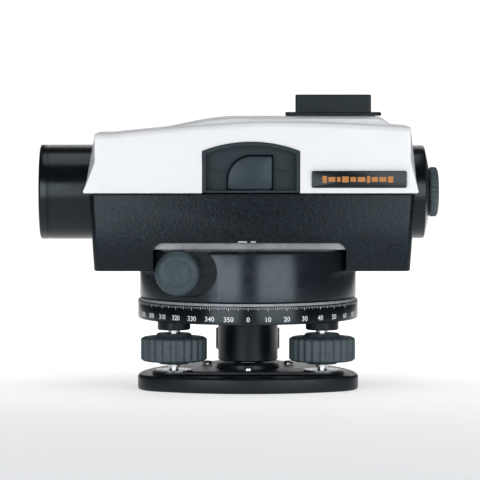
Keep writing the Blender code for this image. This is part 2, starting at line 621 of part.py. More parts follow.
def make_chassis():
    half = HALF_DEPTH - WALL - GAP
    left = HOUSING_FRONT + HOUSING_TAPER + WALL + CHASSIS_END_GAP
    right = HOUSING_REAR - HOUSING_TAPER - WALL - CHASSIS_END_GAP
    plate = box("chassis", (left, -half, CHASSIS_BOTTOM), (right, half, CHASSIS_TOP), ALUMINIUM)
    sunk = CHASSIS_TOP - 0.001
    wide = box("wide_saddle", (BARREL_REAR, -0.012, sunk),
               (BARREL_REAR + WIDE_SADDLE_LENGTH, 0.012, SIGHT_LINE - 0.012))
    narrow = box("narrow_saddle", (FOCUS_CENTRE - SADDLE_HALF, -0.008, sunk),
                 (FOCUS_CENTRE + SADDLE_HALF, 0.008, SIGHT_LINE - 0.006))
    post = rod_profile(0.0055, SIGHT_LINE - 0.0120, sunk)
    stand = turned("bubble_stand", post, None, (VIAL_X, VIAL_Y, 0), steps=20)
    join(plate, wide, narrow, stand)
    wide = WIDE_TUBE_RADIUS + GAP
    narrow = NARROW_TUBE_RADIUS + GAP
    cut(plate, cut_rod("wide_cradle", wide, BARREL_FRONT, TUBE_STEP + 0.001, ALONG_X, AXIS, 40))
    cut(plate, cut_rod("narrow_cradle", narrow, TUBE_STEP, TUBE_END + 0.01, ALONG_X, AXIS, 32))


def make_lower_housing():
    levels = (HOUSING_BOTTOM, HOUSING_CREASE, HOUSING_TOP)
    shell = lofted("lower_housing", [housing_section(z) for z in levels], SLATE)
    floor = HOUSING_BOTTOM + WALL
    inner = [housing_section(z, inset=WALL) for z in (floor, HOUSING_CREASE, HOUSING_TOP)]
    inner.append([(x, y, HOUSING_TOP + 0.01) for x, y, _ in inner[-1]])
    cut(shell, lofted("housing_inside", inner))
    drum_hole = cut_rod("drum_hole", DRUM_RADIUS + 0.0010, 0.03, HOUSING_CREASE + 0.001, steps=56)
    cut(shell, drum_hole)
    corner = ARCH_CORNER
    outline = [(ARCH_LEFT, 0.03), (ARCH_RIGHT, 0.03)]
    outline += arc((ARCH_RIGHT - corner, ARCH_TOP - corner), corner, 0, 90, 5)
    outline += arc((ARCH_LEFT + corner, ARCH_TOP - corner), corner, 90, 180, 5)
    cut(shell, upright_slab("drum_arch", [outline], 0.05))
    cut(shell, *end_bores("housing"))


def end_bores(name):
    """The round openings for the objective barrel and the rear cap."""
    front = cut_rod(name + "_front_bore", BARREL_RADIUS + GAP, BARREL_FRONT, HOUSING_FRONT + 0.02,
                    ALONG_X, AXIS, 44)
    rear = cut_rod(name + "_rear_bore", REAR_CAP_RADIUS + GAP, REAR_CAP_START - 0.005, REAR_CAP_END,
                   ALONG_X, AXIS, 36)
    return front, rear


def cover_outline(inset=0.0, bottom=COVER_BOTTOM):
    """Side view of the cover: flared ends, a flat front and a back that falls to the rear."""
    front = HOUSING_FRONT - COVER_FLARE + inset
    rear = HOUSING_REAR + COVER_FLARE / 2 - inset
    front_top = HOUSING_FRONT + 0.0026 + inset
    rear_top = HOUSING_REAR - 0.0021 - inset
    shoulder = COVER_SHOULDER
    low = COVER_FRONT_TOP - inset
    high = COVER_HIGH - inset
    round_off = 0.0030
    points = [(front, bottom), (rear, bottom), (rear_top, shoulder)]
    points += arc((rear_top - round_off, COVER_REAR_TOP - inset - round_off), round_off, 0, 85, 4)
    crest = COVER_RISE_START + COVER_RISE_LENGTH
    points += [(rear_top - 0.0355, high - 0.0010), (crest + 0.0150, high), (crest, high)]
    for step in range(1, 6):
        share = 1 - step / 6
        rise = share * (1.3 - 0.3 * share)
        points.append((COVER_RISE_START + COVER_RISE_LENGTH * share, low + (high - low) * rise))
    points += [(COVER_RISE_START, low)]
    points += arc((front_top + round_off, low - round_off), round_off, 90, 180, 4)
    return points + [(front_top, shoulder)]


def make_top_cover():
    shell = upright_slab("top_cover", [cover_outline()], HALF_DEPTH, WHITE)
    bevel(shell, COVER_EDGE, 2, 60)
    low = COVER_FRONT_TOP - 0.004
    left = HUMP_START
    right = HOUSING_REAR - 0.0021 - HUMP_SETBACK
    hump_outline = [(left, low), (right, low), (right, COVER_REAR_TOP), (right - 0.0070, HUMP_TOP)]
    hump_outline += [(left + 0.0480, HUMP_TOP), (left + 0.0260, HUMP_TOP - 0.0012), (left, COVER_FRONT_TOP)]
    hump = upright_slab("hump_form", [hump_outline], HUMP_HALF_DEPTH)
    bevel(hump, 0.0015, 2, 60)
    join(shell, hump)
    inside = upright_slab("cover_inside", [cover_outline(WALL, COVER_BOTTOM - 0.01)], HALF_DEPTH - WALL)
    cut(shell, inside)
    bay = arch_outline(BAY_LEFT, BAY_RIGHT, COVER_BOTTOM - 0.01, BAY_CORNER_TOP, BAY_TOP)
    cut(shell, upright_slab("bay_opening", [bay], 0.010, middle=SIDE_FACE))
    shaft = cut_rod("knob_shaft_hole", 0.0040, 0.02, 0.06, ALONG_Y, (FOCUS_CENTRE, 0, PINION_Z), 20)
    cut(shell, shaft)
    cut(shell, *end_bores("cover"))


# ---------------------------------------------------------------- telescope
def lens(name, radius, front, rear, bulge_front, bulge_rear):
    """A lens along X between two vertices; a bulge is how far each face's rim lies behind its vertex."""
    rows = 3
    rear_face = [(radius * i / rows, rear - bulge_rear * (i / rows) ** 2) for i in range(rows + 1)]
    front_face = [(radius * i / rows, front + bulge_front * (i / rows) ** 2) for i in range(rows + 1)]
    turned(name, rear_face + front_face[::-1], GLASS, AXIS, ALONG_X, steps=20)


def make_objective():
    end = BARREL_REAR
    seat = BARREL_FRONT + LENS_SEAT_DEPTH
    inner = LENS_RADIUS + GAP
    profile = [(BARREL_RADIUS, end), (BARREL_RADIUS, BARREL_FRONT + 0.0008)]
    profile += [(BARREL_RADIUS - 0.0008, BARREL_FRONT)]
    profile += [(inner, BARREL_FRONT), (inner, seat), (inner - 0.0020, seat), (inner - 0.0020, seat + 0.0020)]
    profile += [(WIDE_TUBE_RADIUS + GAP, seat + 0.0020), (WIDE_TUBE_RADIUS + GAP, end)]
    turned("objective_barrel", profile, BLACK, AXIS, ALONG_X, steps=44, ring=True)
    lens("objective_rear_lens", LENS_RADIUS, seat - GAP - FLINT_THICKNESS, seat - GAP, -0.0020, 0.0)
    crown_rear = seat - 2 * GAP - FLINT_THICKNESS
    crown_front = crown_rear - CROWN_THICKNESS
    lens("objective_front_lens", LENS_RADIUS, crown_front, crown_rear, 0.0026, 0.0020)
    ring_rear = crown_front + 0.0018
    profile = tube_profile(LENS_RADIUS, LENS_RADIUS - 0.0018, ring_rear, ring_rear - 0.0035)
    turned("retaining_ring", profile, BLACK, AXIS, ALONG_X, steps=28, ring=True)


def make_telescope_tube():
    front = BARREL_REAR - TUBE_INSERT
    wide = WIDE_TUBE_RADIUS
    narrow = NARROW_TUBE_RADIUS
    inner = narrow - TUBE_WALL
    profile = [(narrow, TUBE_END), (narrow, TUBE_STEP), (wide, TUBE_STEP), (wide, front)]
    profile += [(wide - TUBE_WALL, front)]
    profile += [(wide - TUBE_WALL, TUBE_STEP - TUBE_WALL), (inner, TUBE_STEP - TUBE_WALL), (inner, TUBE_END)]
    tube = turned("telescope_tube", profile, BLACK, AXIS, ALONG_X, steps=32, ring=True)
    reach = FOCUS_CELL_LENGTH / 2 + FOCUS_TRAVEL + SLIP
    half = RACK_WIDTH / 2 + SLIP
    slot = box("rack_slot", (FOCUS_CENTRE - reach, -half, SIGHT_LINE + 0.003),
               (FOCUS_CENTRE + reach, half, SIGHT_LINE + 0.03))
    cut(tube, slot)


def make_focusing():
    half = FOCUS_CELL_LENGTH / 2
    bore = FOCUS_CELL_RADIUS - 0.0012
    profile = tube_profile(FOCUS_CELL_RADIUS, bore, FOCUS_CENTRE + half, FOCUS_CENTRE - half)
    turned("focusing_cell", profile, BRASS, AXIS, ALONG_X, ring=True)
    lens("focusing_lens", bore - GAP, FOCUS_CENTRE - 0.0022, FOCUS_CENTRE + 0.0022, -0.0012, -0.0012)

    pitch = FOCUS_CELL_LENGTH / RACK_TEETH
    outline = [(FOCUS_CENTRE - half, RACK_BOTTOM), (FOCUS_CENTRE + half, RACK_BOTTOM)]
    for tooth in range(RACK_TEETH):
        right = FOCUS_CENTRE + half - tooth * pitch
        outline += [(right, RACK_TOP), (right - pitch * 0.5, RACK_TOP)]
        outline += [(right - pitch * 0.5, RACK_TOP - 0.0006), (right - pitch, RACK_TOP - 0.0006)]
    upright_slab("focus_rack", [outline], RACK_WIDTH / 2, BRASS)

    knob_start = HALF_DEPTH + 0.0008
    knob_end = knob_start + FOCUS_KNOB_LENGTH
    seat = PINION_SEAT
    profile = [(0, knob_end - 0.003), (seat, knob_end - 0.003), (seat, RACK_WIDTH)]
    profile += [(PINION_RADIUS, RACK_WIDTH), (PINION_RADIUS, -RACK_WIDTH), (0, -RACK_WIDTH)]
    turned("focus_pinion_shaft", profile, STEEL, (FOCUS_CENTRE, 0, PINION_Z), ALONG_Y, steps=16)
    radius = FOCUS_KNOB_RADIUS
    bore = seat + GAP
    profile = [(0, knob_end), (radius - 0.0020, knob_end), (radius, knob_end - 0.0020)]
    profile += [(radius, knob_start + 0.001), (radius - 0.0010, knob_start), (bore, knob_start)]
    profile += [(bore, knob_end - 0.003 + GAP)]
    profile += [(0, knob_end - 0.003 + GAP)]
    turned("focusing_knob", profile, KNOB_GREY, (FOCUS_CENTRE, 0, PINION_Z), ALONG_Y, steps=28)


def make_eyepiece():
    cell_outer = EYEPIECE_RADIUS + 0.0020
    cup = cell_outer + SLIP + 0.0026
    left = COMPENSATOR_RIGHT + GAP
    cup_end = RETICLE_X + 0.0055
    inner = EYE_CELL_RADIUS + GAP
    profile = [(EYEPIECE_RADIUS, EYEPIECE_END), (EYEPIECE_RADIUS, cup_end), (cup, cup_end), (cup, left)]
    profile += [(cell_outer + SLIP, left), (cell_outer + SLIP, cup_end - 0.002), (inner, cup_end - 0.002)]
    barrel = turned("eyepiece_barrel", profile + [(inner, EYEPIECE_END)], BLACK, AXIS, ALONG_X, ring=True)
    profile = tube_profile(cell_outer, RETICLE_BORE, RETICLE_X + 0.0025, RETICLE_X - 0.0025)
    turned("reticle_cell", profile, BRASS, AXIS, ALONG_X, ring=True)
    profile = rod_profile(RETICLE_BORE - GAP, RETICLE_X + 0.0006, RETICLE_X - 0.0006)
    turned("reticle_glass", profile, GLASS, AXIS, ALONG_X)
    for name, turn in (("reticle_screw_upper", 0), ("reticle_screw_lower", math.pi)):
        shank = 0.0012
        end = cell_outer + GAP
        head = cup + GAP
        profile = [(0, head + 0.0016), (0.0022, head + 0.0016), (0.0022, head)]
        profile += [(shank, head), (shank, end), (0, end)]
        at = (RETICLE_X, 0, SIGHT_LINE)
        turned(name, profile, STEEL, at, (turn, 0, 0), steps=14)
        hole = cut_rod(name + "_hole", shank + GAP, cell_outer, cup + 0.002, (turn, 0, 0), at, 14)
        cut(barrel, hole)

    cell_start = EYEPIECE_END - 0.0152
    cell_end = EYEPIECE_END + 0.0018
    bore = EYE_CELL_RADIUS - 0.0014
    profile = tube_profile(EYE_CELL_RADIUS, bore, cell_end, cell_start)
    turned("eyepiece_cell", profile, BLACK, AXIS, ALONG_X, ring=True)
    lens("field_lens", bore - GAP, cell_start + 0.0010, cell_start + 0.0045, 0.0014, 0.0002)
    lens("eye_lens", bore - GAP, cell_end - 0.0050, cell_end - 0.0006, 0.0010, 0.0012)

    start = EYEPIECE_END + GAP
    wall = cell_end + DIOPTRE_TRAVEL + GAP
    radius = DIOPTRE_RADIUS
    profile = [(radius - 0.0032, DIOPTRE_END), (radius - 0.0012, DIOPTRE_END - 0.0004)]
    profile += [(radius, DIOPTRE_END - 0.0014), (radius, start), (inner, start), (inner, wall)]
    profile += [(bore - 0.0010, wall), (bore - 0.0004, DIOPTRE_END)]
    turned("dioptre_ring", profile, BLACK, AXIS, ALONG_X, steps=28, ring=True)

    radius = REAR_CAP_RADIUS
    rim = REAR_CAP_END - 0.0021
    bore = EYEPIECE_RADIUS + GAP
    inner = radius - REAR_CAP_WALL
    floor = REAR_CAP_END - 0.0044
    profile = [(DIOPTRE_RADIUS, REAR_CAP_END), (radius - 0.0006, rim), (radius, rim - 0.0006)]
    profile += [(radius, REAR_CAP_START), (inner, REAR_CAP_START), (inner, floor)]
    profile += [(bore, floor), (bore, REAR_CAP_END)]
    turned("rear_cap", profile, BLACK, AXIS, ALONG_X, steps=36, ring=True)


# ---------------------------------------------------------------- compensator
def make_compensator():
    deep = COMPENSATOR_HALF_DEPTH
    base = CHASSIS_TOP + GAP
    wall = COMPENSATOR_WALL
    frame = box("compensator_frame", (COMPENSATOR_LEFT, -deep, base),
                (COMPENSATOR_RIGHT, deep, COMPENSATOR_TOP), ALUMINIUM)
    cut(frame, box("frame_inside", (COMPENSATOR_LEFT + wall, -deep - 0.01, base + wall),
                   (COMPENSATOR_RIGHT - wall, deep + 0.01, COMPENSATOR_TOP - wall)))
    cut(frame, cut_rod("light_path", 0.0090, COMPENSATOR_LEFT - 0.01, COMPENSATOR_RIGHT + 0.01,
                       ALONG_X, AXIS, 24))

    x = COMPENSATOR_X
    half = 0.0040
    clamp = SWING_AXIS - RIBBON_HALF
    damper_top = base + wall + GAP + 0.0070
    pendulum = box("pendulum", (x - half, -0.0100, damper_top + SWING_ROOM), (x + half, 0.0100, clamp), BRASS)
    prism_bottom = SIGHT_LINE - 0.0068
    seat = box("prism_seat", (x - 0.01, -0.0080, prism_bottom - GAP), (x + 0.01, 0.0080, clamp - 0.0020))
    cut(pendulum, seat)
    piston_z = base + wall + 0.0022
    rod = turned("piston_rod", rod_profile(0.0018, damper_top + 0.004, piston_z), None, (x, 0, 0), steps=16)
    piston = turned("piston_form", rod_profile(DAMPER_RADIUS - SWING_ROOM, piston_z + 0.0014, piston_z), None,
                    (x, 0, 0), steps=24)
    join(pendulum, rod, piston)

    top = clamp - 0.0020 - GAP
    reach = 0.0055
    outline = [(x - reach, prism_bottom), (x + reach, prism_bottom)]
    outline += [(x + reach - 0.003, top), (x - reach + 0.003, top)]
    upright_slab("pendulum_prism", [outline], 0.0080 - GAP, GLASS)
    left = COMPENSATOR_RIGHT - wall - GAP - 0.0048
    outline = [(left, SIGHT_LINE - 0.0085), (left + 0.0048, SIGHT_LINE - 0.0085)]
    outline += [(left + 0.0048, SIGHT_LINE + 0.0085), (left + 0.0020, SIGHT_LINE + 0.0085)]
    upright_slab("roof_prism", [outline], 0.0080, GLASS)

    # Two thin ribbons cross at the swing axis, one at each side of the pendulum.
    ribbon_top = COMPENSATOR_TOP - wall - GAP
    ribbon_bottom = clamp + GAP
    half_ribbon = 0.0001
    slope = 0.0018
    for name, y, lean in (("suspension_ribbon_front", -0.0070, 1), ("suspension_ribbon_rear", 0.0070, -1)):
        rise = (ribbon_top - SWING_AXIS) / RIBBON_HALF
        upper = x + lean * slope * rise
        lower = x - lean * slope * (SWING_AXIS - ribbon_bottom) / RIBBON_HALF
        outline = [(lower - half_ribbon, ribbon_bottom), (lower + half_ribbon, ribbon_bottom)]
        outline += [(upper + half_ribbon, ribbon_top), (upper - half_ribbon, ribbon_top)]
        upright_slab(name, [outline], 0.0012, STEEL, y)

    outer = DAMPER_RADIUS + 0.0012
    floor = base + wall + GAP
    profile = [(DAMPER_RADIUS, damper_top), (outer, damper_top), (outer, floor), (0, floor)]
    profile = [(0, floor + 0.0010), (DAMPER_RADIUS, floor + 0.0010)] + profile
    turned("damper_cup", profile, BRASS, (x, 0, 0), steps=24)


# ---------------------------------------------------------------- circular level
def make_circular_level():
    # Shallow panels at both sides of the hood, and a deeper niche that the hood stands in.
    rim = COVER_BOTTOM + GAP
    front = SIDE_FACE + GAP
    back = SIDE_FACE + BAY_DEPTH
    wall = BAY_WALL
    panel_back = front + BAY_RECESS + wall
    outer = arch_outline(BAY_LEFT + GAP, BAY_RIGHT - GAP, rim, BAY_CORNER_TOP - GAP, BAY_TOP - GAP)
    inner = arch_outline(BAY_LEFT + wall, BAY_RIGHT - wall, rim + 0.0010, BAY_CORNER_TOP - wall,
                         BAY_TOP - wall)
    lining = upright_slab("bay_lining", [outer], (panel_back - front) / 2, BLACK, (panel_back + front) / 2)
    left = HOOD_LEFT - NICHE_ROOM
    right = HOOD_RIGHT + NICHE_ROOM
    top = HOOD_TOP + NICHE_ROOM
    join(lining, box("niche_form", (left - wall, front + wall, rim), (right + wall, back, top + wall)))
    cut(lining, upright_slab("bay_inside", [inner], BAY_DEPTH / 2, middle=panel_back - wall - BAY_DEPTH / 2))
    cut(lining, box("niche_inside", (left, front - 0.01, rim + 0.0010), (right, back - wall, top)))
    vial_bore = VIAL_RADIUS - 0.0018
    vial = (VIAL_X, VIAL_Y, 0)
    cut(lining, cut_rod("vial_window", vial_bore - GAP, 0.09, rim + 0.005, at=vial, steps=24))

    top = COVER_BOTTOM - GAP
    bottom = SIGHT_LINE - 0.0120 + GAP
    profile = [(0, bottom + 0.0030), (vial_bore, bottom + 0.0030), (vial_bore, top), (VIAL_RADIUS, top)]
    turned("bubble_cell", profile + [(VIAL_RADIUS, bottom), (0, bottom)], BLACK, vial, steps=32)
    dome = [(0, top), (vial_bore - GAP, top - 0.0008), (vial_bore - GAP, bottom + 0.0030 + GAP)]
    turned("circular_vial", dome + [(0, bottom + 0.0030 + GAP)], GLASS, vial, steps=32)

    floor = rim + 0.0010 + GAP
    face = SIDE_FACE + 0.0010
    hood_back = back - wall - GAP
    wall = HOOD_WALL
    half = (hood_back - face) / 2
    middle = (hood_back + face) / 2

    def hood_outline(inset, bottom, end):
        radius = HOOD_NOSE - inset
        nose = arc((HOOD_LEFT + inset + radius, HOOD_TOP - inset - radius), radius, 90, 180, 8)
        return [(HOOD_LEFT + inset, bottom), (end, bottom), (end, HOOD_TOP - inset)] + nose

    hood = upright_slab("prism_hood", [hood_outline(0.0, floor, HOOD_RIGHT)], half, KNOB_GREY, middle)
    bevel(hood, 0.0010, 2, 60)
    inside = upright_slab("hood_inside", [hood_outline(wall, floor - 0.01, HOOD_RIGHT + 0.01)], half - wall,
                          middle=middle)
    cut(hood, inside)
    reach = 0.0110
    start = HOOD_RIGHT - 0.0020 - reach
    foot = floor + 0.0015
    outline = [(start, foot), (start + reach, foot), (start + reach, foot + reach)]
    upright_slab("viewing_prism", [outline], half - wall - GAP, GLASS, middle)


# ---------------------------------------------------------------- sight and label
def make_sight():
    low = SIGHT_FLANGE_BOTTOM
    half = SIGHT_HALF_WIDTH
    left = SIGHT_LEFT
    right = SIGHT_RIGHT
    body = box("open_sight", (left, -half, low), (right, half, SIGHT_TOP), BLACK)
    bevel(body, 0.0008, 2)
    flange = box("sight_flange", (left - SIGHT_FLANGE, -half - 0.002, low),
                 (right + SIGHT_FLANGE, half + 0.002, SIGHT_FLANGE_TOP))
    join(body, flange)
    wall = SIGHT_WALL
    tunnel_low = SIGHT_FLANGE_TOP + 0.0008
    cut(body, box("sight_tunnel", (left - 0.01, -half + wall, tunnel_low),
                  (right + 0.01, half - wall, SIGHT_TOP - wall)))
    box("sight_lens", (left + 0.003, -half + wall + GAP, tunnel_low + GAP),
        (left + 0.005, half - wall - GAP, SIGHT_TOP - wall - GAP), GLASS)
    box("label_plate", (LABEL_LEFT, SIDE_FACE - GAP - LABEL_THICKNESS, LABEL_BOTTOM),
        (LABEL_RIGHT, SIDE_FACE - GAP, LABEL_TOP), BLACK)


make_base()
for index, (foot_x, foot_y) in enumerate(FEET, 1):
    make_foot_screw(index, foot_x, foot_y)
make_tribrach()
make_fine_drive()
make_chassis()
make_lower_housing()
make_top_cover()
make_objective()
make_telescope_tube()
make_focusing()
make_eyepiece()
make_compensator()
make_circular_level()
make_sight()

for part in PARTS.objects:
    part.data.shade_smooth()
    part.data.set_sharp_from_angle(angle=math.radians(35))
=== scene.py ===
"""Looks of the automatic level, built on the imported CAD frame. Metres, +Z up, +X to the eyepiece."""

import json
import math

import bmesh
import bpy
from mathutils import Matrix, Vector


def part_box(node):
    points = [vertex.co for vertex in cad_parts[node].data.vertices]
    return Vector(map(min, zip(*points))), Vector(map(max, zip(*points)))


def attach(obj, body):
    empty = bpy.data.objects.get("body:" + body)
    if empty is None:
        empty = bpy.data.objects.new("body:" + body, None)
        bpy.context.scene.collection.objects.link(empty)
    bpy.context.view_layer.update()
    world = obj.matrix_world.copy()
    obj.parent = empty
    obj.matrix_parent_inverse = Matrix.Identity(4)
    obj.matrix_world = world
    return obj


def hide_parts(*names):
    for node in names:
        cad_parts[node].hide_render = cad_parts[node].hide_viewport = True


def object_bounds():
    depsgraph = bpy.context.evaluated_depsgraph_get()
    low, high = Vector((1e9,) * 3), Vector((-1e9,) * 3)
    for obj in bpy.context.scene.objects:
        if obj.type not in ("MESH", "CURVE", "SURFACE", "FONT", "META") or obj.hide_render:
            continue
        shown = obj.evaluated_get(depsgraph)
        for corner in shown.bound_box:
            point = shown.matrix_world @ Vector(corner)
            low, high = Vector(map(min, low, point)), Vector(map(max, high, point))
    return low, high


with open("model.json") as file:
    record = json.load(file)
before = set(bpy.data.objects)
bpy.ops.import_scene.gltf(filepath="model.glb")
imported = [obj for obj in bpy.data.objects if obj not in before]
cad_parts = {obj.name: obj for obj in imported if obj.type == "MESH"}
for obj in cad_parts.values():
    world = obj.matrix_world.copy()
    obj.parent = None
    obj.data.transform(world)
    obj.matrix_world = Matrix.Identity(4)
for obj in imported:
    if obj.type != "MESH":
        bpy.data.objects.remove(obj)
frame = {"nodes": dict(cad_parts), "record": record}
CAD_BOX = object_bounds()
NODES = frame["nodes"]
scene = bpy.context.scene


# ---------------------------------------------------------------- places, read from the CAD
def low(node):
    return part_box(node)[0]


def high(node):
    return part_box(node)[1]


def middle(node):
    return (low(node) + high(node)) / 2


SIGHT_LINE = middle("objective_barrel").z
HALF_DEPTH = high("lower_housing").y
FEET = [middle(f"foot_knob_{i}") for i in (1, 2, 3)]
MM = 0.001
HOUSING_CREASE = 10.2 * MM  # height of the dark housing's lower, tapering band
BAY_CORNER = 119.2 * MM  # where the window's sides meet its arched top
FLOOR_GLOW = 0.95  # the backdrop behind the instrument shines, so that it looks white


def mesh_from(form, name):
    mesh = bpy.data.meshes.new(name)
    form.to_mesh(mesh)
    form.free()
    return mesh


# ---------------------------------------------------------------- camera, light and floor
def make_camera():
    data = bpy.data.cameras.new("camera")
    data.lens = 245
    data.clip_end = 20
    camera = bpy.data.objects.new("camera", data)
    scene.collection.objects.link(camera)
    target = Vector((-0.004, 0, (CAD_BOX[0].z + CAD_BOX[1].z) / 2))
    distance = 1.65
    raised = math.radians(3)
    camera.location = target + Vector((0, -distance * math.cos(raised), distance * math.sin(raised)))
    camera.rotation_euler = (target - camera.location).to_track_quat("-Z", "Y").to_euler()
    scene.camera = camera


def area_light(name, place, aim, size, power, colour=(1, 1, 1)):
    data = bpy.data.lights.new(name, "AREA")
    data.shape = "RECTANGLE"
    data.size, data.size_y = size
    data.energy = power
    data.color = colour
    lamp = bpy.data.objects.new(name, data)
    lamp.location = place
    lamp.rotation_euler = (Vector(aim) - Vector(place)).to_track_quat("-Z", "Y").to_euler()
    scene.collection.objects.link(lamp)


def make_stage():
    form = bmesh.new()
    outline = [(-3.0, 0.0), (2.2, 0.0)]
    for i in range(1, 11):
        angle = math.radians(9 * i)
        outline.append((2.2 + 0.8 * math.sin(angle), 0.8 - 0.8 * math.cos(angle)))
    outline += [(3.0, 3.0)]
    rows = [[form.verts.new((x, y, z)) for y, z in outline] for x in (-4.0, 4.0)]
    for i in range(len(outline) - 1):
        form.faces.new((rows[0][i], rows[1][i], rows[1][i + 1], rows[0][i + 1]))
    mesh = mesh_from(form, "floor")
    mesh.shade_smooth()
    floor = bpy.data.objects.new("floor", mesh)
    scene.collection.objects.link(floor)
    look = Look("floor", (0.88, 0.88, 0.89), 0.9)
    split = look.node("ShaderNodeSeparateXYZ")
    look.link(look.place, split.inputs[0])
    aside = look.node("ShaderNodeMath", operation="ABSOLUTE")
    look.link(split.outputs["X"], aside.inputs[0])
    # The glow starts behind the instrument, and stays in the middle and low on the backdrop.
    behind = look.between(split.outputs["Y"], -0.5, 0.3, 0.0, 1.0)
    central = look.between(aside.outputs["Value"], 0.45, 0.75, FLOOR_GLOW, 0.0)
    both = look.node("ShaderNodeMath", operation="MULTIPLY")
    look.link(behind, both.inputs[0])
    look.link(central, both.inputs[1])
    low_part = look.node("ShaderNodeMath", operation="MULTIPLY")
    look.link(both.outputs["Value"], low_part.inputs[0])
    look.link(look.between(split.outputs["Z"], 0.45, 0.65, 1.0, 0.0), low_part.inputs[1])
    glow = low_part.outputs["Value"]
    look.set("Emission Color", (1, 1, 1, 1))
    look.link(glow, look.shader.inputs["Emission Strength"])
    mesh.materials.append(look.material)
    world = bpy.data.worlds.new("studio")
    world.use_nodes = True
    world.node_tree.nodes["Background"].inputs["Color"].default_value = (0.90, 0.96, 1.0, 1)
    world.node_tree.nodes["Background"].inputs["Strength"].default_value = 0.05
    scene.world = world
    scene.view_settings.view_transform = "Standard"
    light_box("left_box", -23, 0.75, (0.40, 0.62), 4.0)
    light_box("right_box", 29, 0.75, (0.52, 0.62), 3.5)
    area_light("top_light", (0, 0, 1.3), (0, 0, 0), (0.8, 0.8), 3.5)
    area_light("back_fill", (0.2, 1.1, 0.7), (0, 0, SIGHT_LINE), (0.9, 0.6), 1.5)


def light_box(name, azimuth, distance, size, radiance):
    """A softbox at the instrument's height, its power set by how bright its face looks."""
    angle = math.radians(azimuth)
    place = (distance * math.sin(angle), -distance * math.cos(angle), SIGHT_LINE)
    area_light(name, place, (0, 0, SIGHT_LINE), size, radiance * math.pi * size[0] * size[1],
               (0.96, 0.98, 1.0))


# ---------------------------------------------------------------- materials
class Look:
    """A Principled material with short calls for the procedural nodes that feed it."""

    def __init__(self, name, colour, roughness, metallic=0.0, specular=0.5):
        self.material = bpy.data.materials.new(name)
        self.material.use_nodes = True
        self.tree = self.material.node_tree
        self.shader = self.tree.nodes["Principled BSDF"]
        self.set("Base Color", (*colour, 1))
        self.set("Roughness", roughness)
        self.set("Metallic", metallic)
        self.set("Specular IOR Level", specular)
        self.colour = colour
        self.place = self.node("ShaderNodeTexCoord").outputs["Object"]

    def set(self, socket, value):
        self.shader.inputs[socket].default_value = value

    def node(self, kind, **settings):
        made = self.tree.nodes.new(kind)
        for name, value in settings.items():
            setattr(made, name, value)
        return made

    def link(self, source, target):
        self.tree.links.new(source, target)

    def noise(self, scale, detail=3.0, stretch=None, rough=0.5):
        made = self.node("ShaderNodeTexNoise")
        made.inputs["Scale"].default_value = scale
        made.inputs["Detail"].default_value = detail
        made.inputs["Roughness"].default_value = rough
        source = self.place
        if stretch:
            mapping = self.node("ShaderNodeMapping")
            mapping.inputs["Scale"].default_value = stretch
            self.link(self.place, mapping.inputs["Vector"])
            source = mapping.outputs["Vector"]
        self.link(source, made.inputs["Vector"])
        return made.outputs["Fac"]

    def cells(self, scale):
        made = self.node("ShaderNodeTexVoronoi", feature="SMOOTH_F1")
        made.inputs["Scale"].default_value = scale
        self.link(self.place, made.inputs["Vector"])
        return made.outputs["Distance"]

    def ramp(self, source, stops):
        made = self.node("ShaderNodeValToRGB")
        elements = made.color_ramp.elements
        while len(elements) < len(stops):
            elements.new(0.5)
        for element, (position, colour) in zip(elements, stops):
            element.position = position
            element.color = (*colour, 1)
        self.link(source, made.inputs["Fac"])
        return made.outputs["Color"]

    def between(self, source, start, end, low_value, high_value):
        made = self.node("ShaderNodeMapRange")
        made.inputs["From Min"].default_value = start
        made.inputs["From Max"].default_value = end
        made.inputs["To Min"].default_value = low_value
        made.inputs["To Max"].default_value = high_value
        self.link(source, made.inputs["Value"])
        return made.outputs["Result"]

    def mottle(self, scale, darker, lighter, stretch=None):
        """The base colour drifts between two shades of itself."""
        dark = [c * darker for c in self.colour]
        light = [min(1.0, c * lighter) for c in self.colour]
        self.link(self.ramp(self.noise(scale, 4, stretch), [(0.3, dark), (0.7, light)]),
                  self.shader.inputs["Base Color"])
        return self

    def worn(self, scale, low_value, high_value, stretch=None):
        """Roughness varies over the surface, as handling and dust leave it."""
        self.link(self.between(self.noise(scale, 5, stretch), 0.3, 0.7, low_value, high_value),
                  self.shader.inputs["Roughness"])
        return self

    def grain(self, height, depth, strength=0.4):
        """A bump from one height field."""
        bump = self.node("ShaderNodeBump")
        bump.inputs["Strength"].default_value = strength
        bump.inputs["Distance"].default_value = depth
        self.link(height, bump.inputs["Height"])
        self.link(bump.outputs["Normal"], self.shader.inputs["Normal"])
        return self


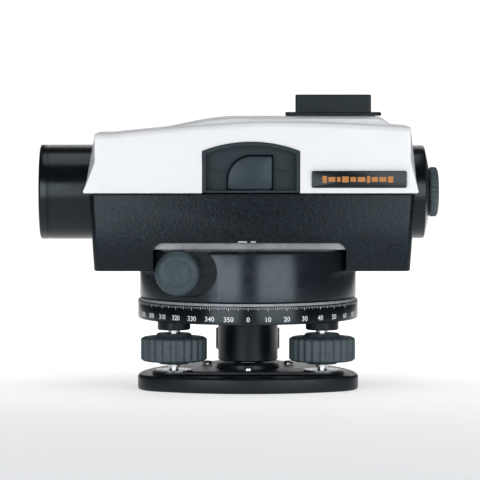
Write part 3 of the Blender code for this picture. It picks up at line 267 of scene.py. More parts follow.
def make_looks():
    looks = {}
    white = Look("white_plastic", (0.86, 0.865, 0.885), 0.34)
    white.mottle(35, 0.985, 1.01).worn(60, 0.28, 0.42)
    white.grain(white.noise(2600, 2), 0.00004, 0.25)
    looks["white_plastic"] = white
    slate = Look("slate_paint", (0.0050, 0.0080, 0.0108), 0.32, specular=0.24)
    slate.mottle(900, 0.5, 2.0).worn(500, 0.20, 0.30)
    slate.grain(slate.cells(950), 0.00016, 0.35)
    looks["slate_paint"] = slate
    drum = Look("drum_paint", (0.0085, 0.0125, 0.0160), 0.23)
    drum.mottle(120, 0.9, 1.12).worn(220, 0.18, 0.27)
    drum.grain(drum.noise(900, 2), 0.00003, 0.2)
    looks["drum_paint"] = drum
    black = Look("black_plastic", (0.0028, 0.0046, 0.0062), 0.25, specular=0.36)
    black.mottle(90, 0.8, 1.3).worn(160, 0.16, 0.26)
    black.grain(black.noise(1800, 3), 0.00004, 0.3)
    looks["black_plastic"] = black
    paint = Look("black_paint", (0.0045, 0.0068, 0.0092), 0.30, specular=0.30)
    paint.mottle(60, 0.8, 1.35).worn(120, 0.28, 0.42)
    paint.grain(paint.noise(1400, 3), 0.00006, 0.3)
    looks["black_paint"] = paint
    knob = Look("knob_rubber", (0.032, 0.049, 0.057), 0.50)
    knob.mottle(400, 0.8, 1.2).worn(300, 0.42, 0.60)
    knob.grain(knob.noise(3000, 3), 0.00006, 0.4)
    looks["knob_rubber"] = knob
    foot = Look("foot_rubber", (0.045, 0.068, 0.080), 0.50)
    foot.mottle(400, 0.8, 1.2).worn(300, 0.42, 0.60)
    foot.grain(foot.cells(1500), 0.00006, 0.35)
    looks["foot_rubber"] = foot
    hood = Look("hood_plastic", (0.018, 0.031, 0.038), 0.40, specular=0.40)
    hood.mottle(250, 0.85, 1.15).worn(200, 0.34, 0.48)
    hood.grain(hood.noise(2400, 3), 0.00004, 0.3)
    looks["hood_plastic"] = hood
    bay = Look("bay_plastic", (0.009, 0.017, 0.021), 0.42, specular=0.40)
    bay.mottle(250, 0.85, 1.15).worn(200, 0.36, 0.50)
    bay.grain(bay.noise(2400, 3), 0.00004, 0.3)
    looks["bay_plastic"] = bay
    sight = Look("sight_plastic", (0.004, 0.008, 0.011), 0.38, specular=0.34)
    sight.mottle(250, 0.85, 1.15).worn(200, 0.34, 0.46)
    sight.grain(sight.noise(2400, 3), 0.00004, 0.3)
    looks["sight_plastic"] = sight
    for look in (slate, drum, black, paint, knob, hood, bay, sight):
        look.set("Specular Tint", (0.82, 0.94, 1.0, 1))
    steel = Look("steel", (0.60, 0.61, 0.63), 0.26, 1.0)
    steel.mottle(200, 0.9, 1.05).worn(900, 0.18, 0.34, (1, 1, 6))
    steel.grain(steel.noise(2200, 2, (1, 1, 5)), 0.00003, 0.2)
    looks["steel"] = steel
    blued = Look("blued_steel", (0.030, 0.034, 0.040), 0.36, 0.6)
    blued.mottle(150, 0.8, 1.2).worn(300, 0.30, 0.45)
    blued.grain(blued.noise(2200, 2), 0.00003, 0.2)
    looks["blued_steel"] = blued
    brass = Look("brass", (0.72, 0.52, 0.24), 0.28, 1.0)
    brass.mottle(150, 0.85, 1.08).worn(700, 0.20, 0.38)
    brass.grain(brass.noise(2200, 2), 0.00003, 0.2)
    looks["brass"] = brass
    cast = Look("aluminium", (0.30, 0.31, 0.32), 0.45, 0.9)
    cast.mottle(180, 0.8, 1.15).worn(300, 0.38, 0.55)
    cast.grain(cast.noise(1100, 4), 0.00012, 0.4)
    looks["aluminium"] = cast
    fibre = Look("friction_plastic", (0.20, 0.10, 0.04), 0.7)
    fibre.mottle(600, 0.7, 1.3)
    fibre.grain(fibre.noise(1500, 4), 0.0001, 0.4)
    looks["friction_plastic"] = fibre
    glass = Look("lens_glass", (0.93, 0.97, 0.96), 0.02)
    glass.set("Transmission Weight", 1.0)
    glass.set("IOR", 1.52)
    glass.set("Coat Weight", 0.6)
    glass.set("Coat Tint", (0.75, 0.65, 1.0, 1))
    glass.worn(40, 0.005, 0.03)
    looks["lens_glass"] = glass
    ink = Look("scale_white", (0.72, 0.74, 0.76), 0.5)
    ink.mottle(900, 0.8, 1.1)
    ink.grain(ink.noise(2500, 2), 0.00003, 0.2)
    looks["scale_white"] = ink
    band = Look("scale_band", (0.42, 0.45, 0.48), 0.35)
    band.mottle(500, 0.8, 1.2).worn(300, 0.28, 0.42)
    looks["scale_band"] = band
    orange = Look("label_orange", (0.50, 0.19, 0.035), 0.4)
    orange.mottle(700, 0.85, 1.1).worn(300, 0.35, 0.5)
    looks["label_orange"] = orange
    return {name: look.material for name, look in looks.items()}


# ---------------------------------------------------------------- modelling tools
def add(name, mesh):
    made = bpy.data.objects.new(name, mesh)
    scene.collection.objects.link(made)
    return made


def settle(made, angle=32):
    """Applies every modifier and smooths the shading between sharp edges."""
    bpy.context.view_layer.update()
    mesh = bpy.data.meshes.new_from_object(made.evaluated_get(bpy.context.evaluated_depsgraph_get()))
    mesh.transform(made.matrix_world)
    made.modifiers.clear()
    made.data = mesh
    made.matrix_world = Matrix.Identity(4)
    mesh.shade_smooth()
    mesh.set_sharp_from_angle(angle=math.radians(angle))
    return made


def finish_piece(made, body, look, nodes=(), angle=32):
    settle(made, angle)
    made.data.materials.clear()
    made.data.materials.append(LOOKS[look])
    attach(made, body)
    if nodes:
        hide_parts(*nodes)
    return made


def grid_solid(name, rings):
    """A closed solid through rings of points that all have the same count."""
    form = bmesh.new()
    rows = [[form.verts.new(p) for p in ring] for ring in rings]
    count = len(rows[0])
    for first, second in zip(rows, rows[1:]):
        for i in range(count):
            form.faces.new((first[i - 1], first[i], second[i], second[i - 1]))
    form.faces.new(rows[0])
    form.faces.new(rows[-1])
    bmesh.ops.recalc_face_normals(form, faces=form.faces)
    mesh = mesh_from(form, name)
    return add(name, mesh)


def turned(name, profile, at=(0, 0, 0), turn=(0, 0, 0), steps=128, ring=False):
    mesh = bpy.data.meshes.new(name)
    count = len(profile)
    edges = [(i, (i + 1) % count) for i in range(count if ring else count - 1)]
    mesh.from_pydata([(r, 0, z) for r, z in profile], edges, [])
    made = add(name, mesh)
    made.location = at
    made.rotation_euler = turn
    screw = made.modifiers.new("turn", "SCREW")
    screw.steps = steps
    screw.render_steps = steps
    screw.use_merge_vertices = True
    screw.merge_threshold = 0.00001
    return made


def rod(name, radius, start, end, at=(0, 0, 0), turn=(0, 0, 0), steps=96):
    return turned(name, [(0, end), (radius, end), (radius, start), (0, start)], at, turn, steps)


def slab(name, outline, thickness, at=(0, 0, 0), turn=(0, 0, 0)):
    """An outline in local XY, thickened upwards in local Z."""
    form = bmesh.new()
    face = form.faces.new([form.verts.new((x, y, 0)) for x, y in outline])
    made = bmesh.ops.extrude_face_region(form, geom=[face])
    moved = [v for v in made["geom"] if isinstance(v, bmesh.types.BMVert)]
    bmesh.ops.translate(form, verts=moved, vec=(0, 0, thickness))
    bmesh.ops.recalc_face_normals(form, faces=form.faces)
    mesh = mesh_from(form, name)
    solid = add(name, mesh)
    solid.location = at
    solid.rotation_euler = turn
    return solid


def upright(name, outline, near, far):
    """An outline in X and Z, from y = near to y = far."""
    return slab(name, outline, far - near, (0, far, 0), (math.pi / 2, 0, 0))


def block(name, lowest, highest):
    outline = [(lowest[0], lowest[1]), (highest[0], lowest[1]), (highest[0], highest[1]),
               (lowest[0], highest[1])]
    return slab(name, outline, highest[2] - lowest[2], (0, 0, lowest[2]))


def bevel(made, width, segments=3, limit=40):
    edge = made.modifiers.new("bevel", "BEVEL")
    edge.width = width
    edge.segments = segments
    edge.limit_method = "ANGLE"
    edge.angle_limit = math.radians(limit)
    return made


def combine(made, others, operation="DIFFERENCE"):
    """Booleans with each of the others, which are then removed."""
    for other in others:
        settle(other)
        step = made.modifiers.new(operation, "BOOLEAN")
        step.operation = operation
        step.solver = "EXACT"
        step.object = other
    settle(made)
    for other in others:
        bpy.data.objects.remove(other)
    return made


def arc(centre, radius, start, end, count):
    angles = [math.radians(start + (end - start) * i / count) for i in range(count + 1)]
    return [(centre[0] + radius * math.cos(a), centre[1] + radius * math.sin(a)) for a in angles]


def rounded_box(left, right, bottom, top, radius, count=4):
    """Outline of a rectangle with round corners."""
    points = arc((right - radius, bottom + radius), radius, -90, 0, count)
    points += arc((right - radius, top - radius), radius, 0, 90, count)
    points += arc((left + radius, top - radius), radius, 90, 180, count)
    return points + arc((left + radius, bottom + radius), radius, 180, 270, count)


def fluted(name, levels, flutes, depth, at=(0, 0, 0), turn=(0, 0, 0), sharpness=1.5, samples=10):
    """A knob: at each level (z, radius, share) the rim dips between ribs by share of depth."""
    count = flutes * samples
    rings = []
    for z, radius, share in levels:
        ring = []
        for i in range(count):
            angle = 2 * math.pi * i / count
            dip = (0.5 - 0.5 * math.cos(flutes * angle)) ** sharpness * depth * share
            ring.append(((radius - dip) * math.cos(angle), (radius - dip) * math.sin(angle), z))
        rings.append(ring)
    made = grid_solid(name, rings)
    made.location = at
    made.rotation_euler = turn
    return made


ALONG_X = (0, math.pi / 2, 0)
ALONG_Y = (-math.pi / 2, 0, 0)
TOWARDS_CAMERA = (math.pi / 2, 0, 0)
AXIS = (0, 0, SIGHT_LINE)


# ---------------------------------------------------------------- base and foot screws
def rounded_triangle(radius, corner, side_radius=None, steps=20):
    half_chord = radius * math.sin(math.radians(60))
    swing = math.degrees(math.asin(half_chord / (side_radius - corner))) if side_radius else 0
    points = []
    for angle in (90, 210, 330):
        turn = math.radians(angle)
        centre = (radius * math.cos(turn), radius * math.sin(turn))
        points += arc(centre, corner, angle - 60 + swing, angle + 60 - swing, steps)
        if side_radius:
            back = (side_radius - corner) * math.cos(math.radians(swing)) - radius / 2
            turn = math.radians(angle + 60)
            hub = (-back * math.cos(turn), -back * math.sin(turn))
            points += arc(hub, side_radius, angle + 60 - swing, angle + 60 + swing, steps)[1:-1]
    return points


def make_base():
    radius = FEET[2].y
    corner = high("base_plate").y - radius
    boss_top = high("base_plate").z
    thickness = low("spring_plate").z - 0.3 * MM
    plate = slab("base_plate_casting", rounded_triangle(radius, corner, 0.090), thickness)
    bevel(plate, 1.4 * MM, 4)
    settle(plate)
    boss = bevel(rod("boss", 15.5 * MM, thickness / 2, boss_top), 0.5 * MM, 2)
    combine(plate, [boss], "UNION")
    cutters = [rod("bore", 6.75 * MM, -0.01, 0.03)]
    cutters += [rod("socket", 3.8 * MM, low("foot_spindle_1").z - 0.3 * MM, 0.03, (f.x, f.y, 0),
                    steps=40) for f in FEET]
    combine(plate, cutters)
    finish_piece(plate, "base", "black_paint", ["base_plate"])
    thread = [(7.4 * MM - 0.7 * MM * (i % 2), 0.4 * MM + i * 1.15 * MM) for i in range(10)]
    coil = turned("tripod_thread", thread[::-1] + [(7.6 * MM, 0.4 * MM), (7.6 * MM, thread[-1][1])],
                  ring=True, steps=48)
    finish_piece(coil, "base", "steel")

    z = low("spring_plate").z
    leaf = slab("spring_leaf", rounded_triangle(radius, 11 * MM), high("spring_plate").z - z, (0, 0, z))
    bevel(leaf, 0.25 * MM, 2)
    cutters = [rod("boss_hole", 16 * MM, 0, 0.03)]
    cutters += [rod("neck_hole", 2.8 * MM, 0, 0.03, (f.x, f.y, 0), steps=40) for f in FEET]
    combine(leaf, cutters)
    finish_piece(leaf, "base", "blued_steel", ["spring_plate"])
    for i, foot in enumerate(FEET, 1):
        z = high("spring_plate").z
        profile = [(9.0 * MM, z + 0.7 * MM), (9.4 * MM, z + 0.3 * MM), (9.4 * MM, z + 0.05 * MM),
                   (2.8 * MM, z + 0.05 * MM)]
        washer = turned(f"foot_washer_{i}", profile + [(2.8 * MM, z + 0.7 * MM)], (foot.x, foot.y, 0),
                        steps=64, ring=True)
        finish_piece(washer, "base", "steel")
    for i in (1, 2, 3):
        node = f"spring_plate_screw_{i}"
        make_screw(f"spring_plate_bolt_{i}", middle(node), high("spring_plate").z + 0.3 * MM, high(node),
                   node)


def make_screw(name, centre, seat, top, node):
    """A pan head with a cross recess."""
    height = top.z - seat
    profile = [(0, seat + height), (1.5 * MM, seat + height), (2.3 * MM, seat + height * 0.75),
               (2.6 * MM, seat + height * 0.4)]
    head = turned(name, profile + [(2.6 * MM, seat), (0, seat)], (centre.x, centre.y, 0), steps=48)
    bars = []
    for turn in (0, math.pi / 2):
        bar = block("recess", (-1.6 * MM, -0.3 * MM, seat + height * 0.45), (1.6 * MM, 0.3 * MM, 0.1))
        bar.location = (centre.x, centre.y, seat + height * 0.45)
        bar.rotation_euler = (0, 0, turn)
        bars.append(bar)
    combine(head, bars)
    finish_piece(head, "base", "steel", [node])


def make_foot_screws():
    bodies = ("foot_screw_1", "foot_screw_2", "foot_screw_3_knob")
    for i, (foot, body) in enumerate(zip(FEET, bodies), 1):
        node = f"foot_knob_{i}"
        bottom, top = low(node).z, high(node).z
        radius = high(node).x - foot.x
        rim_low, rim_high = bottom + 1.5 * MM, bottom + 13.5 * MM
        neck = 8.2 * MM
        levels = [(bottom, neck - 1 * MM, 0), (rim_low, neck, 0), (rim_low, radius - 1.6 * MM, 0.4)]
        levels += [(rim_low + 0.4 * MM, radius - 0.7 * MM, 0.8), (rim_low + 1.0 * MM, radius, 1)]
        levels += [(rim_high - 1.0 * MM, radius, 1), (rim_high - 0.4 * MM, radius - 0.7 * MM, 0.8)]
        levels += [(rim_high, radius - 1.6 * MM, 0.4), (rim_high, neck + 2.2 * MM, 0),
                   (rim_high + 0.5 * MM, neck + 1.2 * MM, 0)]
        levels += [(top - 0.3 * MM, neck + 0.2 * MM, 0), (top, neck, 0)]
        knob = fluted(f"foot_wheel_{i}", levels, 24, 0.9 * MM, (foot.x, foot.y, 0))
        combine(knob, [rod("bore", 3.3 * MM, 0, 0.05, (foot.x, foot.y, 0), steps=40)])
        finish_piece(knob, body, "foot_rubber", [node])


# ---------------------------------------------------------------- tribrach and circle
def make_tribrach():
    body_low, body_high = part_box("tribrach_body")
    ring_low, ring_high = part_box("horizontal_circle")
    radius = body_high.x
    top = ring_high.z - 2.7 * MM
    bottom = ring_low.z + 0.5 * MM
    hub = 15.0 * MM
    shoulder = low("worm_wheel").z - 0.3 * MM
    bore = high("bearing_bush").x + 0.3 * MM
    wheel_hub = 15.2 * MM
    profile = [(0, body_low.z + 3 * MM), (bore, body_low.z + 3 * MM), (bore, body_high.z),
               (wheel_hub, body_high.z)]
    profile += [(wheel_hub, shoulder), (wheel_hub + 3.7 * MM, shoulder), (wheel_hub + 3.7 * MM, top),
                (radius - 0.5 * MM, top)]
    profile += [(radius, top - 0.5 * MM), (radius, bottom + 0.5 * MM), (radius - 0.5 * MM, bottom)]
    flare = arc((hub + 4.5 * MM, bottom - 4.5 * MM), 4.5 * MM, 90, 180, 8)
    profile += flare
    profile += [(hub, body_low.z + 0.6 * MM), (hub - 0.6 * MM, body_low.z), (0, body_low.z)]
    casting = turned("tribrach_casting", profile)
    settle(casting)
    sleeves = []
    sleeve_low = high("foot_knob_1").z + 1.8 * MM
    for foot in FEET:
        steps = [(0, bottom + 3 * MM), (8.2 * MM, bottom + 3 * MM), (8.2 * MM, sleeve_low + 0.5 * MM)]
        sleeves.append(turned("sleeve", steps + [(7.7 * MM, sleeve_low), (0, sleeve_low)],
                              (foot.x, foot.y, 0), steps=64))
    combine(casting, sleeves, "UNION")
    combine(casting, [rod("bore", 3.3 * MM, 0, 0.06, (f.x, f.y, 0), steps=40) for f in FEET])
    finish_piece(casting, "tribrach", "black_paint", ["tribrach_body"])

    outer = ring_high.x
    inner = radius + 0.6 * MM
    profile = [(outer - 1.2 * MM, ring_high.z), (outer - 0.05 * MM, ring_high.z - 1.15 * MM),
               (outer, ring_high.z - 1.3 * MM)]
    profile += [(outer, ring_low.z + 0.5 * MM), (outer - 0.5 * MM, ring_low.z), (inner, ring_low.z),
                (inner, top + 0.3 * MM)]
    profile += [(44 * MM, top + 0.3 * MM), (44 * MM, ring_high.z)]
    ring = turned("circle_ring", profile, steps=180, ring=True)
    finish_piece(ring, "circle", "black_plastic", ["horizontal_circle"])
    profile = [(outer - 1.25 * MM, ring_high.z + 0.06 * MM), (outer - 0.1 * MM, ring_high.z - 1.06 * MM)]
    profile += [(outer - 0.3 * MM, ring_high.z - 1.2 * MM), (outer - 1.5 * MM, ring_high.z)]
    band = turned("circle_scale_band", profile, steps=180, ring=True)
    finish_piece(band, "circle", "scale_band")
    make_scale(outer, ring_low.z, ring_high.z)


def make_scale(radius, bottom, top):
    """One-degree lines under the band and a number every ten degrees."""
    form = bmesh.new()
    for degree in range(360):
        height = 1.7 * MM if degree % 10 == 0 else 1.3 * MM if degree % 5 == 0 else 0.9 * MM
        width = 0.20 * MM if degree % 5 == 0 else 0.14 * MM
        made = bmesh.ops.create_cube(form, size=1.0)["verts"]
        upper = top - 1.6 * MM
        bmesh.ops.scale(form, verts=made, vec=(width, 0.06 * MM, height))
        bmesh.ops.translate(form, verts=made, vec=(0, -radius, upper - height / 2))
        bmesh.ops.rotate(form, verts=made, cent=(0, 0, 0),
                         matrix=Matrix.Rotation(math.radians(degree), 3, "Z"))
    mesh = mesh_from(form, "circle_lines")
    finish_piece(add("circle_lines", mesh), "circle", "scale_white")
    size = 3.4 * MM
    base = bottom + 1.6 * MM
    for step in range(36):
        words = bpy.data.curves.new("number", "FONT")
        words.body = str(step * 10)
        words.size = size
        words.align_x = "CENTER"
        words.extrude = 0.05 * MM
        words.resolution_u = 3
        words.offset = 0.06 * MM
        number = bpy.data.objects.new(f"circle_number_{step * 10:03d}", words)
        scene.collection.objects.link(number)
        mesh = bpy.data.meshes.new_from_object(number)
        bpy.data.objects.remove(number)
        number = add(f"circle_number_{step * 10:03d}", mesh)
        around = math.radians(step * 10)
        for vert in mesh.vertices:
            angle = -math.pi / 2 + around + vert.co.x / radius
            out = radius + 0.02 * MM + vert.co.z * 0.6
            vert.co = (out * math.cos(angle), out * math.sin(angle), base + vert.co.y)
        finish_piece(number, "circle", "scale_white")


# ---------------------------------------------------------------- drum and tangent screw
def make_drum():
    bottom, top = low("drive_housing").z, high("drive_housing").z
    radius = high("drive_housing").x
    cavity = 42 * MM
    roof = top - 2.5 * MM
    floor = bottom + 2.8 * MM
    hole = 19.6 * MM
    profile = [(0, top), (radius - 1.6 * MM, top), (radius - 0.5 * MM, top - 0.35 * MM),
               (radius, top - 1.2 * MM)]
    profile += [(radius, bottom + 0.6 * MM), (radius - 0.6 * MM, bottom), (hole, bottom), (hole, floor),
                (cavity, floor)]
    drum = turned("drum", profile + [(cavity, roof), (0, roof)], steps=200)
    knob = middle("tangent_knob_front")
    reach = high("tangent_knob_front").x - knob.x + 1.4 * MM
    start = high("tangent_knob_front").y + 0.8 * MM
    pocket = arc((knob.x, knob.z), reach, 90, 270, 24) + arc((knob.x + 7 * MM, knob.z), reach, -90, 90, 24)
    worm = high("worm_shaft").x - middle("worm_shaft").x + 0.3 * MM
    cutters = [upright("front_pocket", pocket, -0.08, start), upright("rear_pocket", pocket, -start, 0.08)]
    cutters += [rod("worm_bore", worm, -0.06, 0.06, (knob.x, 0, knob.z), ALONG_Y, 48)]
    combine(drum, cutters)
    finish_piece(drum, "instrument", "drum_paint", ["drive_housing"])

    for side, turn in (("front", TOWARDS_CAMERA), ("rear", ALONG_Y)):
        node = f"tangent_knob_{side}"
        start = min(abs(low(node).y), abs(high(node).y))
        end = max(abs(low(node).y), abs(high(node).y))
        outer = high(node).x - middle(node).x
        levels = [(start, outer - 1.0 * MM, 0), (start + 0.8 * MM, outer, 0.6),
                  (start + 1.6 * MM, outer, 1)]
        levels += [(end - 3.4 * MM, outer, 1), (end - 2.4 * MM, outer - 0.1 * MM, 0.4),
                   (end - 1.4 * MM, outer - 0.6 * MM, 0)]
        levels += [(end - 0.6 * MM, outer - 1.5 * MM, 0), (end - 0.1 * MM, outer - 2.8 * MM, 0),
                   (end, outer - 4 * MM, 0)]
        levels += [(end - 0.35 * MM, outer - 4.6 * MM, 0), (end - 0.35 * MM, 1 * MM, 0)]
        at = (knob.x, 0, knob.z)
        finish_piece(fluted(f"tangent_wheel_{side}", levels, 30, 0.5 * MM, at, turn), "fine_drive",
                     "knob_rubber", [node])


# ---------------------------------------------------------------- housing and cover
def housing_ring(z, inset=0.0):
    """The housing's plan at one height, with round corners."""
    bottom, top = low("lower_housing").z, high("lower_housing").z
    taper = 2.2 * MM
    crease = bottom + HOUSING_CREASE
    share = (top - z) / (top - bottom)
    left = low("lower_housing").x + taper * share + inset
    right = high("lower_housing").x - taper * share - inset
    deep = HALF_DEPTH - taper * max(0.0, crease - z) / (crease - bottom) - inset
    return [(x, y, z) for x, y in rounded_box(left, right, -deep, deep, 3.2 * MM, 6)]


def end_cutters():
    front = rod("front_bore", high("objective_barrel").y + 0.3 * MM, -0.12, -0.06, AXIS, ALONG_X, 128)
    rear = rod("rear_bore", high("rear_cap").y + 0.3 * MM, 0.07, 0.10, AXIS, ALONG_X, 128)
    return [front, rear]


def make_lower_housing():
    bottom, top = low("lower_housing").z, high("lower_housing").z
    crease = bottom + HOUSING_CREASE
    shell = grid_solid("housing_shell", [housing_ring(z) for z in (bottom, crease, top)])
    bevel(shell, 0.8 * MM, 3, 50)
    wall = 2.5 * MM
    inside = [housing_ring(z, wall) for z in (bottom + wall, crease, top)]
    inside.append([(x, y, top + 0.01) for x, y, _ in inside[-1]])
    combine(shell, [grid_solid("inside", inside)])
    radius = high("drive_housing").x + 1 * MM
    arch_top = high("drive_housing").z + 3.6 * MM
    left, right = -47.0 * MM, 48.6 * MM
    corner = 5 * MM
    outline = [(left, 0.03), (right, 0.03)] + arc((right - corner, arch_top - corner), corner, 0, 90, 10)
    outline += arc((left + corner, arch_top - corner), corner, 90, 180, 10)
    combine(shell, [rod("drum_hole", radius, 0.03, crease + 1 * MM, steps=160),
                    upright("arch", outline, -0.05, 0.05)])
    combine(shell, end_cutters())
    finish_piece(shell, "instrument", "slate_paint", ["lower_housing"])
    # Two small white dashes on the housing's lower edge, above the middle of the arch.
    form = bmesh.new()
    for start, end in ((-5.0, -0.5), (1.3, 3.8)):
        made = bmesh.ops.create_cube(form, size=1.0)["verts"]
        bmesh.ops.scale(form, verts=made, vec=((end - start) * MM, 0.1 * MM, 0.7 * MM))
        bmesh.ops.translate(form, verts=made, vec=((start + end) / 2 * MM, -HALF_DEPTH - 0.02 * MM,
                                                   arch_top + 0.6 * MM))
    mesh = mesh_from(form, "white_dashes")
    finish_piece(add("white_dashes", mesh), "instrument", "scale_white")


def smooth_step(share):
    share = min(1.0, max(0.0, share))
    return share * share * (3 - 2 * share)


def cover_top(x):
    """Height of the cover's top line: it rises from the front to the crest and falls gently to the rear."""
    front, crown, rear = 127.6 * MM, 133.6 * MM, 131.0 * MM
    share = min(1.0, max(0.0, (x + 69 * MM) / (73 * MM)))
    rise = front + (crown - front) * share * (1.3 - 0.3 * share)
    fall = (crown - rear) * max(0.0, (x - 19 * MM) / (61.5 * MM)) ** 1.6
    return rise - fall


def cover_crease(x):
    """Height of the faint line along the cover's sides."""
    climb = 2.3 * MM * smooth_step((x + 76 * MM) / (60 * MM))
    drop = 1.4 * MM * smooth_step((x - 26 * MM) / (50 * MM))
    return 113.2 * MM + climb - drop


def cover_ring(x_top, x_low, inset=0.0, drop=0.0):
    """One cross-section: the lower band flares out, the upper corners are round."""
    bottom = low("top_cover").z - drop
    crease = cover_crease(x_top)
    top = cover_top(x_top) - inset
    deep_low = HALF_DEPTH - inset
    deep = deep_low - 1.0 * MM
    radius = 3.2 * MM
    right = [(x_low, deep_low, bottom), (x_low, deep_low - 0.05 * MM, bottom + 0.5 * MM)]
    right += [(x_top, deep, crease), (x_top, deep, crease + 0.4 * MM)]
    right += [(x_top, y, z) for y, z in arc((deep - radius, top - radius), radius, 0, 90, 6)]
    return right + [(x, -y, z) for x, y, z in right[::-1]]


def make_top_cover():
    left_low, right_low = low("top_cover").x, high("top_cover").x
    left, right = -76.0 * MM, 80.5 * MM

    def rings(inset, drop):
        made = []
        count = 60
        for i in range(count + 1):
            x = left + inset + (right - left - 2 * inset) * i / count
            x_low = x
            if i == 0:
                x_low = left_low + inset
            if i == count:
                x_low = right_low - inset
            made.append(cover_ring(x, x_low, inset, drop))
        return made

    shell = grid_solid("cover_shell", rings(0, 0))
    bevel(shell, 1.6 * MM, 3, 55)
    settle(shell)
    # The raised back that carries the sight
    hump_top = low("open_sight").z - 0.3 * MM
    levels = []
    count = 40
    for i in range(count + 1):
        x = -46 * MM + (119 * MM) * i / count
        rise = smooth_step((x + 48 * MM) / (44 * MM))
        fall = smooth_step((73 * MM - x) / (8 * MM))
        z = cover_top(x) - 0.2 * MM + (hump_top - cover_top(x) + 0.2 * MM) * rise * fall
        half = 22 * MM
        base = cover_top(x) - 3 * MM
        slope = min(4.0 * MM, max(0.2 * MM, (z - cover_top(x) + 0.3 * MM) * 2))
        levels.append([(x, half, base), (x, half - slope * 0.25, z - slope * 0.28), (x, half - slope, z),
                       (x, -half + slope, z), (x, -half + slope * 0.25, z - slope * 0.28),
                       (x, -half, base)])
    combine(shell, [grid_solid("hump", levels)], "UNION")
    combine(shell, [grid_solid("inside", rings(2.5 * MM, 10 * MM))])
    bay_low, bay_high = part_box("bay_lining")
    gap = 0.3 * MM
    bay = arch_outline(bay_low.x - gap, bay_high.x + gap, bay_low.z - 10 * MM, BAY_CORNER, bay_high.z + gap)
    pinion = middle("focus_pinion_shaft")
    cutters = [upright("bay", bay, -0.05, -0.02),
               rod("shaft_hole", 4 * MM, 0.02, 0.06, (pinion.x, 0, pinion.z), ALONG_Y, 48)]
    combine(shell, cutters + end_cutters())
    finish_piece(shell, "instrument", "white_plastic", ["top_cover"], angle=28)


def arch_outline(left, right, bottom, corner_z, top_z, steps=32):
    half = (right - left) / 2
    rise = top_z - corner_z
    radius = (half * half + rise * rise) / (2 * rise)
    swing = math.degrees(math.asin(half / radius))
    return [(left, bottom), (right, bottom)] + arc(((left + right) / 2, top_z - radius), radius, 90 - swing,
                                                   90 + swing, steps)


# ---------------------------------------------------------------- bay, hood and label
def hood_outline(inset, bottom, end):
    """Side view of the prism hood: square to the rear, a quarter circle in front."""
    hood_low, hood_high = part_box("prism_hood")
    radius = 12 * MM - inset
    nose = arc((hood_low.x + inset + radius, hood_high.z - inset - radius), radius, 90, 180, 16)
    return [(hood_low.x + inset, bottom), (end, bottom), (end, hood_high.z - inset)] + nose


def make_bay():
    bay_low, bay_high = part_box("bay_lining")
    hood_low, hood_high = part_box("prism_hood")
    wall = 1.5 * MM
    panel = bay_low.y + 7.0 * MM
    outer = arch_outline(bay_low.x, bay_high.x, bay_low.z, BAY_CORNER, bay_high.z)
    inner = arch_outline(bay_low.x + wall, bay_high.x - wall, bay_low.z + 1 * MM, BAY_CORNER - wall,
                         bay_high.z - wall)
    lining = upright("bay_shell", outer, bay_low.y, panel + wall)
    room = 0.5 * MM
    left, right, top = hood_low.x - 1 * MM, hood_high.x + 1 * MM, hood_high.z + 1 * MM
    niche = block("niche", (left - wall, bay_low.y + wall, bay_low.z),
                  (right + wall, bay_high.y, top + wall))
    combine(lining, [niche], "UNION")
    vial = middle("circular_vial")
    cutters = [upright("hollow", inner, -0.05, panel),
               rod("window", 6.1 * MM, 0.09, 0.105, (vial.x, vial.y, 0), steps=48)]
    around = hood_outline(-room, bay_low.z + 1 * MM, hood_high.x + room)
    cutters.append(upright("niche_room", around, -0.05, bay_high.y - wall))
    z = (bay_low.z + bay_high.z) / 2 - 1.6 * MM
    for start, end in ((bay_low.x + 4.5 * MM, left - 0.2 * MM), (right + 0.4 * MM, bay_high.x - 4.5 * MM)):
        cutters.append(block("slot", (start, panel - 0.01, z - 0.7 * MM),
                             (end, panel + 0.9 * MM, z + 0.7 * MM)))
    combine(lining, cutters)
    finish_piece(lining, "instrument", "bay_plastic", ["bay_lining"])

    hood = bevel(upright("hood_shell", hood_outline(0, hood_low.z, hood_high.x), hood_low.y, hood_high.y),
                 1.3 * MM, 2, 60)
    settle(hood)
    wall = 1.3 * MM
    combine(hood, [upright("hollow", hood_outline(wall, 0.09, 0.03), hood_low.y + wall,
                           hood_high.y - wall)])
    finish_piece(hood, "instrument", "hood_plastic", ["prism_hood"])


# Width and height of each printed bar, in millimetres
LABEL_BARS = ((2.2, 3.4), (3.4, 2.4), (1.8, 2.4), (3.2, 3.0), (2.8, 2.4),
              (3.8, 2.4), (1.6, 3.4), (3.0, 2.4), (3.4, 2.4), (2.6, 3.0))


def make_label():
    first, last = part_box("label_plate")
    plate = bevel(upright("label", rounded_box(first.x, last.x, first.z, last.z, 0.7 * MM), first.y,
                          last.y), 0.2 * MM, 2)
    finish_piece(plate, "instrument", "black_plastic", ["label_plate"])
    form = bmesh.new()
    z = (first.z + last.z) / 2
    x = first.x + 5.2 * MM
    for width, tall in LABEL_BARS:
        made = bmesh.ops.create_cube(form, size=1.0)["verts"]
        bmesh.ops.scale(form, verts=made, vec=(width * MM, 0.1 * MM, tall * MM))
        bmesh.ops.translate(form, verts=made, vec=(x + width / 2 * MM, first.y - 0.02 * MM, z))
        x += (width + 0.8) * MM
    mesh = mesh_from(form, "label_bars")
    finish_piece(add("label_bars", mesh), "instrument", "label_orange")


